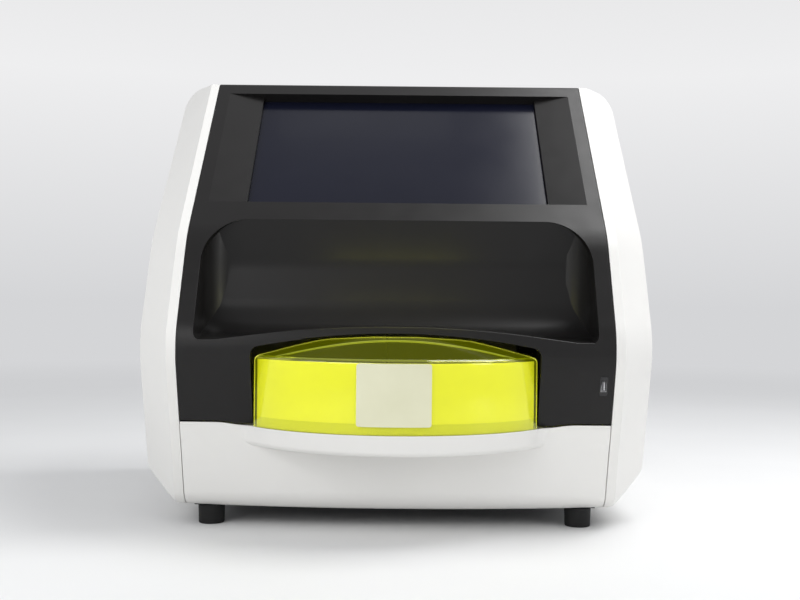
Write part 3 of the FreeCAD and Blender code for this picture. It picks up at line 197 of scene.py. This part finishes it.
def new_finish(name):
    material = bpy.data.materials.new(name)
    material.use_nodes = True
    tree = material.node_tree
    return material, tree, tree.nodes["Principled BSDF"]


def object_coordinates(tree):
    """One node gives them to the whole finish, and the first to ask makes it."""
    place = tree.nodes.get("place") or tree.nodes.new("ShaderNodeTexCoord")
    place.name = "place"
    return place.outputs["Object"]


def object_place(tree):
    """The Object coordinates one by one."""
    split = tree.nodes.new("ShaderNodeSeparateXYZ")
    tree.links.new(object_coordinates(tree), split.inputs["Vector"])
    return split.outputs


def noise(tree, scale, detail=3.0, place=None):
    """A noise over the Object coordinates, or over another place."""
    texture = tree.nodes.new("ShaderNodeTexNoise")
    texture.inputs["Scale"].default_value = scale
    texture.inputs["Detail"].default_value = detail
    tree.links.new(place or object_coordinates(tree), texture.inputs["Vector"])
    return texture.outputs["Fac"]


def blend_colours(tree, factor, low, high):
    """A noise hardly leaves its middle range, so the ramp runs over that range only."""
    ramp = tree.nodes.new("ShaderNodeValToRGB")
    ramp.color_ramp.elements[0].position = NOISE_LOW
    ramp.color_ramp.elements[1].position = NOISE_HIGH
    ramp.color_ramp.elements[0].color = (*low, 1)
    ramp.color_ramp.elements[1].color = (*high, 1)
    tree.links.new(factor, ramp.inputs["Fac"])
    return ramp.outputs["Color"]


def spread(tree, factor, low, high, start=NOISE_LOW, end=NOISE_HIGH):
    """A number that goes from low to high while the factor goes from start to end."""
    scale = tree.nodes.new("ShaderNodeMapRange")
    scale.inputs["From Min"].default_value = start
    scale.inputs["From Max"].default_value = end
    scale.inputs["To Min"].default_value = low
    scale.inputs["To Max"].default_value = high
    tree.links.new(factor, scale.inputs["Value"])
    return scale.outputs["Result"]


def calculate(tree, operation, *terms):
    """A Math node whose terms are numbers or the outputs of other nodes."""
    node = tree.nodes.new("ShaderNodeMath")
    node.operation = operation
    for socket, term in zip(node.inputs, terms):
        if isinstance(term, (int, float)):
            socket.default_value = term
        else:
            tree.links.new(term, socket)
    return node.outputs[0]


def bump(tree, shader, factor, strength, distance):
    """Small relief that is too fine for the mesh."""
    node = tree.nodes.new("ShaderNodeBump")
    node.inputs["Strength"].default_value = strength
    node.inputs["Distance"].default_value = distance
    tree.links.new(factor, node.inputs["Height"])
    tree.links.new(node.outputs["Normal"], shader.inputs["Normal"])


# %% [markdown]
# ## Two recipes
# Nearly every piece of the machine is either moulded or coated, or else rolled or machined
# metal. One recipe makes each kind, and its numbers tell one plastic or metal from another.

# %% Moulded plastic and rolled metal
TONE_SCALE = 6
GLOSS_SCALE = 40
GRAIN_HEIGHT = 0.06 * MM
LINE_SCALE = 60
LINE_STRENGTH = 0.1
LINE_HEIGHT = 0.05 * MM


def moulded(name, colour, roughness, shift=0.04, grain=900, depth=0.15, specular=0.5):
    """A moulded plastic: slow tone shift, uneven gloss and mould grain."""
    material, tree, shader = new_finish(name)
    low = tuple(c * (1 - shift) for c in colour)
    high = tuple(min(c * (1 + shift), 1) for c in colour)
    tone = blend_colours(tree, noise(tree, TONE_SCALE), low, high)
    tree.links.new(tone, shader.inputs["Base Color"])
    gloss = spread(tree, noise(tree, GLOSS_SCALE), roughness - 0.03, roughness + 0.04)
    tree.links.new(gloss, shader.inputs["Roughness"])
    bump(tree, shader, noise(tree, grain, detail=2.0), depth, GRAIN_HEIGHT)
    shader.inputs["Specular IOR Level"].default_value = specular
    return material


def metal(name, colour, roughness, stretch=(1, 1, 30)):
    """A rolled or machined metal: fine lines drawn out along one way."""
    material, tree, shader = new_finish(name)
    mapping = tree.nodes.new("ShaderNodeMapping")
    mapping.inputs["Scale"].default_value = stretch
    tree.links.new(object_coordinates(tree), mapping.inputs["Vector"])
    lines = noise(tree, LINE_SCALE, detail=4, place=mapping.outputs["Vector"])
    low = tuple(c * 0.88 for c in colour)
    tree.links.new(blend_colours(tree, lines, low, colour), shader.inputs["Base Color"])
    gloss = spread(tree, lines, roughness - 0.06, roughness + 0.08)
    tree.links.new(gloss, shader.inputs["Roughness"])
    bump(tree, shader, lines, LINE_STRENGTH, LINE_HEIGHT)
    shader.inputs["Metallic"].default_value = 1.0
    return material


# %% [markdown]
# ## Plastics, paints and metals
# The shells are a white satin moulding and the front is a black one, so black that nearly
# all of what shows on it is mirrored light. That is why its specular level is low: any more
# would turn it grey. The frame and the rear panel are powder coated, the slides and the
# small parts are plated, and the pipetting unit is machined aluminium.

# %% Plastics, paints and metals of this machine
WHITE = (0.80, 0.79, 0.765)
BLACK = (0.0085, 0.0079, 0.0079)
STEEL = (0.62, 0.62, 0.63)

FINISH = {
    "shell_white": moulded("shell white", WHITE, 0.38, shift=0.015, grain=1400, depth=0.12),
    "fascia_black": moulded(
        "fascia black", BLACK, 0.34, shift=0.12, grain=1600, depth=0.2, specular=0.27
    ),
    "display": moulded("display black", (0.01, 0.01, 0.012), 0.4),
    "sheet_steel": moulded(
        "powder coat", (0.03, 0.03, 0.032), 0.5, shift=0.1, grain=2200, depth=0.5
    ),
    "rear_paint": moulded(
        "rear paint", (0.62, 0.61, 0.59), 0.48, shift=0.02, grain=2200, depth=0.5
    ),
    "plated_steel": metal("plated steel", STEEL, 0.3),
    "bare_aluminium": metal("bare aluminium", (0.78, 0.79, 0.8), 0.32, stretch=(30, 1, 1)),
    "needle_steel": metal("needle steel", (0.14, 0.14, 0.15), 0.4),
    "foot_rubber": moulded(
        "foot rubber", (0.008, 0.008, 0.008), 0.62, shift=0.2, grain=700, depth=0.5, specular=0.25
    ),
    "carousel_dark": moulded("carousel plastic", (0.03, 0.03, 0.034), 0.42, shift=0.1),
    "fan_black": moulded("fan plastic", (0.012, 0.012, 0.013), 0.45, shift=0.1),
    "board_green": moulded(
        "board lacquer", (0.01, 0.09, 0.035), 0.35, shift=0.2, grain=300, depth=0.3
    ),
    "motor_black": moulded("motor paint", (0.02, 0.02, 0.022), 0.4, shift=0.1),
}
print("plain finishes:", len(FINISH))

# %% [markdown]
# ## Glass and acrylic
# A few pieces need a finish of their own. The touch screen is unlit, so it is nearly black
# with a little blue, and what it shows is the room. The lens of the reader is clear glass.


# %% Screen and lens
def screen_finish():
    """Dark glass over an unlit display: a little blue, clear and glossy."""
    material, tree, shader = new_finish("screen glass")
    colour = blend_colours(tree, noise(tree, 2.2), (0.004, 0.005, 0.013), (0.006, 0.007, 0.018))
    tree.links.new(colour, shader.inputs["Base Color"])
    tree.links.new(spread(tree, noise(tree, 14), 0.17, 0.22), shader.inputs["Roughness"])
    shader.inputs["Specular IOR Level"].default_value = 0.2
    shader.inputs["Coat Weight"].default_value = 0.06
    shader.inputs["Coat Roughness"].default_value = 0.05
    return material


def lens_finish():
    material, tree, shader = new_finish("lens glass")
    tree.links.new(spread(tree, noise(tree, 300), 0.01, 0.03), shader.inputs["Roughness"])
    shader.inputs["Base Color"].default_value = (0.5, 0.55, 0.7, 1)
    shader.inputs["Transmission Weight"].default_value = 0.8
    return material


# %% [markdown]
# ## Fluorescent acrylic
# The hood takes in light and gives it back as yellow, most of all at its edges. A clear
# yellow transmission with a weak emission stands for that, and a mask from the Object
# coordinates paints a highlight: it raises the emission along a line across the top, where
# the rim of the shoulder's cut would shine. The wall behind it is pale, and its own weak
# glow, painted light, shines through the acrylic, dimmed in a band of painted shade along
# its foot. The colour of the glow carries the mask, and its strength is one number.

# %% Hood and the wall behind it
HOOD_SHOULDER = 0.233
HOOD_PAINTED_RIM_Y = -0.2705
HOOD_PAINTED_RIM_HALF = 1.3 * MM
HOOD_PAINTED_RIM_START = HOOD_SHOULDER + 1.5 * MM
LINER_PAINTED_SHADE_TOP = 0.1545
LINER_PAINTED_SHADE_BLEND = 1.2 * MM


def hood_finish():
    """Fluorescent acrylic: clear yellow that also gives back some light of its own.

    A line across the top glows more: a painted highlight where the rim of the shoulder's cut
    would shine.
    """
    material, tree, shader = new_finish("hood acrylic")
    tree.links.new(spread(tree, noise(tree, 9), 0.03, 0.06), shader.inputs["Roughness"])
    shader.inputs["Base Color"].default_value = (0.96, 0.955, 0.14, 1)
    shader.inputs["Transmission Weight"].default_value = 1.0
    shader.inputs["IOR"].default_value = 1.4
    shader.inputs["Coat Weight"].default_value = 0.5
    shader.inputs["Coat Roughness"].default_value = 0.03
    place = object_place(tree)
    # painted highlight: the emission is raised along a line across the top of the shoulder
    painted_rim_line = calculate(tree, "COMPARE", place["Y"], HOOD_PAINTED_RIM_Y, HOOD_PAINTED_RIM_HALF)
    above = calculate(tree, "GREATER_THAN", place["Z"], HOOD_PAINTED_RIM_START)
    painted_rim_mask = calculate(tree, "MULTIPLY", painted_rim_line, above)
    glow = blend_colours(tree, painted_rim_mask, (0.07, 0.08, 0.0), (0.8, 0.9, 0.1))
    tree.links.new(glow, shader.inputs["Emission Color"])
    shader.inputs["Emission Strength"].default_value = 0.5
    return material


def liner_finish():
    """Pale wall that glows behind the acrylic, and less so in a band of painted shade along its
    foot.
    """
    material, tree, shader = new_finish("liner pale")
    colour = blend_colours(tree, noise(tree, 5), (0.84, 0.86, 0.5), (0.88, 0.9, 0.58))
    tree.links.new(colour, shader.inputs["Base Color"])
    tree.links.new(spread(tree, noise(tree, 30), 0.45, 0.55), shader.inputs["Roughness"])
    painted_shade_end = LINER_PAINTED_SHADE_TOP + LINER_PAINTED_SHADE_BLEND
    # painted shade: the painted glow drops in a band along the foot of the wall
    painted_foot_shade = spread(tree, object_place(tree)["Z"], 0, 1, LINER_PAINTED_SHADE_TOP, painted_shade_end)
    glow = blend_colours(tree, painted_foot_shade, (0.08, 0.078, 0.025), (0.98, 0.95, 0.3))
    tree.links.new(glow, shader.inputs["Emission Color"])
    shader.inputs["Emission Strength"].default_value = 0.215
    return material


FINISH["screen"] = screen_finish()
FINISH["lens_glass"] = lens_finish()
FINISH["hood_yellow"] = hood_finish()
FINISH["liner_pale"] = liner_finish()
print("finishes:", len(FINISH))

# %% [markdown]
# ## Every construction piece gets its finish
# The pieces whose form is already right keep their meshes and only take a material in the
# slot that the record names for them. The needle shares the slot of the plated parts, but it
# is a darker, duller steel.

# %% Dress the construction pieces
OWN_FINISH = {"pipettor_needle": "needle_steel"}

for name, piece in frame["nodes"].items():
    finish = FINISH[OWN_FINISH.get(name, SLOT_OF[name])]
    if piece.material_slots:
        piece.material_slots[0].material = finish
    else:
        piece.data.materials.append(finish)
print("dressed:", len(frame["nodes"]))

# %% [markdown]
# ## Softened copies of the mouldings
# A real moulding has no knife edges: its rounded corners catch the light and draw its
# outline. The construction mesh is loose triangles, so a copy is merged, its flat areas
# are joined, and a narrow bevel goes round every sharp edge. The copy then stands for
# the construction piece.


# %% Soft copies
MERGE = 0.01 * MM
FLAT_TURN = 0.5
FOLD_AREA = 0.0006
FOLD_TURN = (5, 26)


def is_fold(edge):
    """A shallow fold between two large faces, such as the edge of a sloping wing."""
    if len(edge.link_faces) != 2:
        return False
    turn = math.degrees(edge.calc_face_angle(0))
    large = all(face.calc_area() > FOLD_AREA for face in edge.link_faces)
    return FOLD_TURN[0] < turn < FOLD_TURN[1] and large


def merged_copy(node):
    source = frame["nodes"][node]
    piece = bpy.data.objects.new(node + "_soft", source.data.copy())
    bpy.context.scene.collection.objects.link(piece)
    edit(piece)
    bpy.ops.mesh.select_all(action="SELECT")
    bpy.ops.mesh.remove_doubles(threshold=MERGE)
    bpy.ops.mesh.dissolve_limited(angle_limit=math.radians(FLAT_TURN))
    pick(piece, "edges", is_fold)
    bpy.ops.mesh.mark_sharp()
    done()
    return piece


# %% [markdown]
# ## The rims in the front
# The front breaks open twice: the scoop with its ledge, and the arch under it. Their rims
# catch a thin line of light in the photograph, so they get a rounder bevel than the rest.
# Operators can't tell a rim from another edge, so the front is written down as three
# straight runs, seen from the side, and an edge that is sharp and lies on them is a rim.
# Each run is given by the depth and height of one point, and by how far it leans back for
# each metre that it rises.

# %% Rims of the scoop and the arch
FRONT_LINES = ((-0.2625, 0.248, -0.3559), (-0.2625, 0.248, 0.5247), (-0.1859, 0.394, 1.0133))
RIM_ROUND = 1.3 * MM
RIM_TURN = 30
RIM_HALF_WIDTH = 0.268
RIM_HEIGHTS = (0.16, 0.37)
BULGE_TOP = 0.3
BULGE = 8.5 * MM
STRAY = 2.6 * MM
LEDGE_END_X = -0.14
LEDGE_END_HEIGHTS = (0.246, 0.275)


def front_y(z):
    """The front's outer surface, seen from the side: three straight runs."""
    return max(y + (z - height) * slope for y, height, slope in FRONT_LINES)


def on_front(point):
    """Whether a point lies on the front, which also bulges a little in plan low down."""
    slack = BULGE if point.z < BULGE_TOP else STRAY
    return -0.6 * MM < point.y - front_y(point.z) < slack


def at_ledge_end(point):
    """The ledge's left end comes too close to the bend in the front for a bevel."""
    return point.x < LEDGE_END_X and LEDGE_END_HEIGHTS[0] < point.z < LEDGE_END_HEIGHTS[1]


def is_rim(edge):
    """A sharp edge where the scoop or the arch breaks through the front."""
    if len(edge.link_faces) != 2 or math.degrees(edge.calc_face_angle(0)) < RIM_TURN:
        return False
    ends = [vertex.co for vertex in edge.verts]
    if any(at_ledge_end(end) for end in ends):
        return False
    low, high = RIM_HEIGHTS
    inside = all(abs(end.x) < RIM_HALF_WIDTH and low < end.z < high for end in ends)
    return inside and all(on_front(end) for end in ends)


# %% [markdown]
# ## Six soft mouldings
# The shells, the fascia, the lower front, the top cover and the feet are replaced by their
# soft copies. Each has the bevel width that suits its size.


# %% Replace the mouldings
def soft_copy(node, width):
    piece = merged_copy(node)
    if node == "front_fascia":
        edit(piece)
        print("rim edges:", pick(piece, "edges", is_rim))
        bpy.ops.mesh.bevel(offset=RIM_ROUND, segments=3)
        done()
    round_edges(piece, width, segments=2, angle=24)
    attach(piece, BODY_OF[node], SLOT_OF[node], FINISH[SLOT_OF[node]], node)


for node, width in (
    ("right_side_shell", 1.6 * MM),
    ("left_side_shell", 1.6 * MM),
    ("front_fascia", 1.0 * MM),
    ("drawer_front", 1.2 * MM),
    ("top_cover", 0.8 * MM),
    ("rubber_feet", 1.5 * MM),
):
    soft_copy(node, width)

# %% [markdown]
# ## The hood
# The hood is a sheet of fluorescent acrylic bent round the carousel: an upright wall, a
# tight bend, and a shoulder that rises inwards as a cone. It could be cut from a lathe
# shape, but starting from an open cylinder keeps the wall even. The cylinder is cut to its
# sector, its top loop is drawn in and up, the bend is bevelled, and Solidify gives the
# sheet its thickness. The cone has to pass under the arch when the drawer opens, so flat
# cuts that touch a curve just under the arch take off what would rise above it.

# %% Helpers for bent sheets
HUB_Y = -0.1025


def open_cylinder(name, radius, low, high, sides):
    """An upright cylinder about the carousel's axis, with neither top nor bottom."""
    select_nothing()
    bpy.ops.mesh.primitive_cylinder_add(
        vertices=sides,
        radius=radius,
        depth=high - low,
        end_fill_type="NOTHING",
        location=(0, HUB_Y, (high + low) / 2),
    )
    piece = bpy.context.object
    piece.name = name
    settle(piece)
    return piece


def cut_whole(point, normal):
    """Cuts the whole mesh and drops the side that the normal points to."""
    bpy.ops.mesh.select_all(action="SELECT")
    bpy.ops.mesh.bisect(plane_co=point, plane_no=normal, clear_outer=True)


def cut_to_sector(radius, half_width):
    """Keeps the front of an open cylinder, up to where it is this wide."""
    cut_whole((0, HUB_Y - math.sqrt(radius**2 - half_width**2), 0), (0, 1, 0))


def give_wall(piece, thickness, offset=-1):
    """Makes a sheet of a surface, inwards from it unless the offset says otherwise."""
    sheet = piece.modifiers.new("sheet", "SOLIDIFY")
    sheet.thickness = thickness
    sheet.offset = offset
    apply_modifiers(piece)


# %% Hood from an open cylinder
HOOD_SIDES = 360
HOOD_RADIUS = 0.231
HOOD_HALF = 0.1847
HOOD_LOW = 0.141
HOOD_SLOPE = 0.365
HOOD_INNER = 0.16
HOOD_BEND = 5 * MM
HOOD_WALL = 3 * MM
ARCH_TOP = 0.2603
ARCH_RADIUS = 0.94
ARCH_TOUCHES = (0, -0.055, 0.055, -0.11, 0.11, -0.16, 0.16)


def at_shoulder(edge):
    return all(abs(vertex.co.z - HOOD_SHOULDER) < MERGE for vertex in edge.verts)


def make_hood():
    hood = open_cylinder("hood_acrylic", HOOD_RADIUS, HOOD_LOW, HOOD_SHOULDER, HOOD_SIDES)
    edit(hood)
    pick(hood, "edges", at_shoulder)
    rise = HOOD_SLOPE * HOOD_RADIUS * (1 - HOOD_INNER)
    bpy.ops.mesh.extrude_region_move(TRANSFORM_OT_translate={"value": (0, 0, rise)})
    bpy.ops.transform.resize(value=(HOOD_INNER, HOOD_INNER, 1), center_override=(0, HUB_Y, 0))
    pick(hood, "edges", at_shoulder)
    bpy.ops.mesh.bevel(offset=HOOD_BEND, segments=5)
    cut_to_sector(HOOD_RADIUS, HOOD_HALF)
    for x in ARCH_TOUCHES:
        cut_whole((x, 0, ARCH_TOP - x * x / 2 / ARCH_RADIUS), (x / ARCH_RADIUS, 0, 1))
    done()
    give_wall(hood, HOOD_WALL)
    round_edges(hood, 0.4 * MM, segments=2, angle=50)
    attach(hood, "drawer", "hood_yellow", FINISH["hood_yellow"], "drawer_hood")


make_hood()

# %% [markdown]
# ## The wall behind the hood
# A pale wall stands just behind the acrylic and makes it shine, with a painted glow of its
# own. It is the same kind of sector as the hood, only smaller and without a shoulder, so the
# same helpers give it. It ends a little before the hood does, which leaves a clear upright
# band at each end.

# %% Liner from an open cylinder
LINER_SIDES = 240
LINER_RADIUS = 0.2265
LINER_HALF = 0.1795
LINER_LOW = 0.1413
LINER_HIGH = 0.2294
LINER_WALL = 2.5 * MM


def make_liner():
    liner = open_cylinder("liner_wall", LINER_RADIUS, LINER_LOW, LINER_HIGH, LINER_SIDES)
    edit(liner)
    cut_to_sector(LINER_RADIUS, LINER_HALF)
    done()
    give_wall(liner, LINER_WALL)
    round_edges(liner, 0.3 * MM, segments=1, angle=50)
    attach(liner, "drawer", "liner_pale", FINISH["liner_pale"], "hood_liner")


make_liner()

# %% [markdown]
# ## The card on the hood
# A blank card lies against the hood's round face. It starts as a flat box, its corners are
# bevelled, and it is cut into strips, because a face can't bend: only the edges between the
# strips let the card follow the hood's curve.

# %% Card
CARD_WIDTH = 0.0933
CARD_LOW = 0.1517
CARD_HIGH = 0.2294
CARD_THICK = 0.4 * MM
CARD_GAP = 0.1 * MM
CARD_CENTRE_X = -1.6 * MM
CARD_CORNER = 3.5 * MM
CARD_STRIPS = 16


def card_finish():
    material, tree, shader = new_finish("card")
    colour = blend_colours(tree, noise(tree, 18), (0.71, 0.70, 0.50), (0.76, 0.75, 0.55))
    tree.links.new(colour, shader.inputs["Base Color"])
    tree.links.new(spread(tree, noise(tree, 60), 0.5, 0.6), shader.inputs["Roughness"])
    return material


def bend_round_hood(card):
    """Lays the flat card against the hood: its width becomes a turn about the hub."""
    seat = HOOD_RADIUS + CARD_GAP + CARD_THICK / 2
    for vertex in card.data.vertices:
        x, y, z = vertex.co
        turn = (x + CARD_CENTRE_X) / seat
        reach = seat - y
        vertex.co = (
            reach * math.sin(turn),
            HUB_Y - reach * math.cos(turn),
            z + (CARD_LOW + CARD_HIGH) / 2,
        )


def make_card():
    select_nothing()
    bpy.ops.mesh.primitive_cube_add(size=1, location=(0, 0, 0))
    card = bpy.context.object
    card.name = "blank_card"
    card.scale = (CARD_WIDTH, CARD_THICK, CARD_HIGH - CARD_LOW)
    settle(card)
    edit(card)
    pick(card, "edges", lambda e: abs(e.verts[0].co.y - e.verts[1].co.y) > CARD_THICK / 2)
    bpy.ops.mesh.bevel(offset=CARD_CORNER, segments=5)
    for strip in range(1, CARD_STRIPS):
        x = CARD_WIDTH * (strip / CARD_STRIPS - 0.5)
        bpy.ops.mesh.select_all(action="SELECT")
        bpy.ops.mesh.bisect(plane_co=(x, 0, 0), plane_no=(1, 0, 0))
    done()
    bend_round_hood(card)
    round_edges(card, 0.1 * MM, segments=1, angle=50)
    attach(card, "drawer", "shell_white", card_finish())


make_card()

# %% [markdown]
# ## The frame round the memory-stick socket
# The socket sits in a small upright frame with rounded ends. A plane is enough: its
# corners are bevelled, four cuts mark the socket's outline, and the inner face is taken
# out, so that the socket behind shows through. Solidify makes a thin frame of it, which
# then leans as the front does.

# %% Socket frame
SOCKET_X = 0.271
SOCKET_Z = 0.198
SOCKET_HALF = (3.6 * MM, 7.3 * MM)
FRAME_HALF = (5.2 * MM, 13.5 * MM)
FRAME_CORNER = FRAME_HALF[0] * 0.55
FRAME_PROUD = 0.5 * MM
FRAME_LEAN = math.atan2(FRONT_LINES[0][2], 1)


def inside_socket(face):
    centre = face.calc_center_median()
    return abs(centre.x) < SOCKET_HALF[0] and abs(centre.z) < SOCKET_HALF[1]


def make_socket_frame():
    select_nothing()
    upright = (math.radians(90), 0, 0)
    bpy.ops.mesh.primitive_plane_add(size=2, location=(0, 0, 0), rotation=upright)
    piece = bpy.context.object
    piece.name = "socket_frame"
    piece.scale = (FRAME_HALF[0], FRAME_HALF[1], 1)
    settle(piece)
    edit(piece)
    bpy.ops.mesh.select_all(action="SELECT")
    bpy.ops.mesh.bevel(offset=FRAME_CORNER, segments=6, affect="VERTICES")
    for side, way in ((SOCKET_HALF[0], (1, 0, 0)), (SOCKET_HALF[1], (0, 0, 1))):
        for sign in (-1, 1):
            bpy.ops.mesh.select_all(action="SELECT")
            bpy.ops.mesh.bisect(plane_co=Vector(way) * side * sign, plane_no=way)
    pick(piece, "faces", inside_socket)
    bpy.ops.mesh.delete(type="FACE")
    done()
    give_wall(piece, FRAME_PROUD * 2, offset=0)
    piece.rotation_euler = (-FRAME_LEAN, 0, 0)
    piece.location = (SOCKET_X, front_y(SOCKET_Z), SOCKET_Z)
    settle(piece)
    round_edges(piece, 0.2 * MM, segments=1, angle=40)
    attach(piece, "housing", "fascia_black", FINISH["fan_black"])


make_socket_frame()

# %% [markdown]
# ## Bench top
# A pale bench takes the soft shadow. A plane is enough, if it is so wide that its far edge
# never shows: its finish fades into the colour of the wall behind, so that no line is left.

# %% Bench top
BENCH_SIZE = 16
HORIZON = (0.66, 0.665, 0.68, 1)
FADE_START = 0.7
FADE_END = 4.5

select_nothing()
bpy.ops.mesh.primitive_plane_add(size=BENCH_SIZE, location=(0, 0, 0))
floor = bpy.context.object
floor.name = "bench_top"


def floor_finish():
    """A pale bench that takes the shadow and fades into the wall far away."""
    material, tree, shader = new_finish("bench top")
    pale = blend_colours(tree, noise(tree, 3), (0.80, 0.80, 0.80), (0.82, 0.82, 0.82))
    tree.links.new(pale, shader.inputs["Base Color"])
    shader.inputs["Roughness"].default_value = 0.55
    shader.inputs["Specular IOR Level"].default_value = 0.3
    reach = tree.nodes.new("ShaderNodeVectorMath")
    reach.operation = "LENGTH"
    tree.links.new(object_coordinates(tree), reach.inputs[0])
    fade = tree.nodes.new("ShaderNodeMapRange")
    fade.interpolation_type = "SMOOTHSTEP"
    fade.inputs["From Min"].default_value = FADE_START
    fade.inputs["From Max"].default_value = FADE_END
    tree.links.new(reach.outputs["Value"], fade.inputs["Value"])
    glow = tree.nodes.new("ShaderNodeEmission")
    glow.inputs["Color"].default_value = HORIZON
    blend = tree.nodes.new("ShaderNodeMixShader")
    tree.links.new(fade.outputs["Result"], blend.inputs["Fac"])
    tree.links.new(shader.outputs["BSDF"], blend.inputs[1])
    tree.links.new(glow.outputs["Emission"], blend.inputs[2])
    tree.links.new(blend.outputs["Shader"], tree.nodes["Material Output"].inputs["Surface"])
    return material


floor.data.materials.append(floor_finish())
print("bench:", BENCH_SIZE, "m")

# %% [markdown]
# ## The room
# The world shows pale walls to the camera, to reflections and through the acrylic, and gives
# a lower, even light to everything else. A dark glossy moulding shows mostly what it
# mirrors, so the walls and the ceiling of the room matter more to it than any lamp.

# %% World light
CEILING = 0.60
WALLS = ((0.2, 0.86), (0.45, 0.70), (0.7, 0.56))
FILL = 0.55


def world_light():
    """A studio whose walls are pale and whose ceiling is dimmer than its walls."""
    world = bpy.data.worlds.new("studio")
    bpy.context.scene.world = world
    world.use_nodes = True
    tree = world.node_tree
    tree.nodes.clear()
    out = tree.nodes.new("ShaderNodeOutputWorld")
    seen = tree.nodes.new("ShaderNodeBackground")
    place = tree.nodes.new("ShaderNodeTexCoord")
    split = tree.nodes.new("ShaderNodeSeparateXYZ")
    ramp = tree.nodes.new("ShaderNodeValToRGB")
    tree.links.new(place.outputs["Generated"], split.inputs["Vector"])
    tree.links.new(split.outputs["Z"], ramp.inputs["Fac"])
    steps = ramp.color_ramp.elements
    steps[0].position = 0.0
    steps[0].color = HORIZON
    steps[1].position = 1.0
    steps[1].color = (CEILING, CEILING, CEILING + 0.01, 1)
    for height, tone in WALLS:
        steps.new(height).color = (tone, tone, tone * 1.01, 1)
    tree.links.new(ramp.outputs["Color"], seen.inputs["Color"])
    fill = tree.nodes.new("ShaderNodeBackground")
    fill.inputs["Color"].default_value = (0.95, 0.97, 1.0, 1)
    fill.inputs["Strength"].default_value = FILL
    path = tree.nodes.new("ShaderNodeLightPath").outputs
    direct = calculate(tree, "MAXIMUM", path["Is Camera Ray"], path["Is Glossy Ray"])
    shown = calculate(tree, "MAXIMUM", direct, path["Is Transmission Ray"])
    mix = tree.nodes.new("ShaderNodeMixShader")
    tree.links.new(shown, mix.inputs["Fac"])
    tree.links.new(fill.outputs[0], mix.inputs[1])
    tree.links.new(seen.outputs[0], mix.inputs[2])
    tree.links.new(mix.outputs[0], out.inputs["Surface"])


world_light()
print("room: ceiling", CEILING, "fill", FILL)

# %% [markdown]
# ## Lamps
# Large soft lamps above, at both sides and in front model the form as a light tent does. The
# one above and to the right is the strongest, so the shadow falls to the left. A small
# yellow lamp over the hood stands for the light that the acrylic throws into the scoop, and
# a dim panel overhead gives the screen its pale patch.


# %% Lamps
def lamp(name, place, aim, size, watts, colour=(1, 1, 1)):
    data = bpy.data.lights.new(name, "AREA")
    data.shape = "RECTANGLE"
    data.size, data.size_y = size
    data.energy = watts
    data.color = colour
    light = bpy.data.objects.new(name, data)
    bpy.context.scene.collection.objects.link(light)
    light.location = place
    light.rotation_euler = (Vector(aim) - Vector(place)).to_track_quat("-Z", "Y").to_euler()
    print("lamp", name, watts, "W")


lamp("top softbox", (1.15, 0.1, 2.3), (0.1, 0, 0.3), (1.5, 1.5), 42)
lamp("right softbox", (2.1, -1.4, 0.72), (0, -0.2, 0.3), (0.6, 1.2), 6.5)
lamp("left softbox", (-1.9, -1.2, 1.5), (0.1, -0.2, 0.35), (0.8, 0.8), 5.5)
lamp("front fill", (-1.4, -2.4, 1.3), (0, -0.2, 0.3), (1.4, 1.4), 20.5)
lamp(
    "hood glow", (0, -0.262, 0.305), (0, -0.15, 0.298), (0.20, 0.02), 0.06, (0.75, 0.72, 0.05)
)
lamp("ceiling panel", (-0.107, 0.385, 2.2), (-0.107, 0.385, 0), (0.52, 0.23), 0.16)
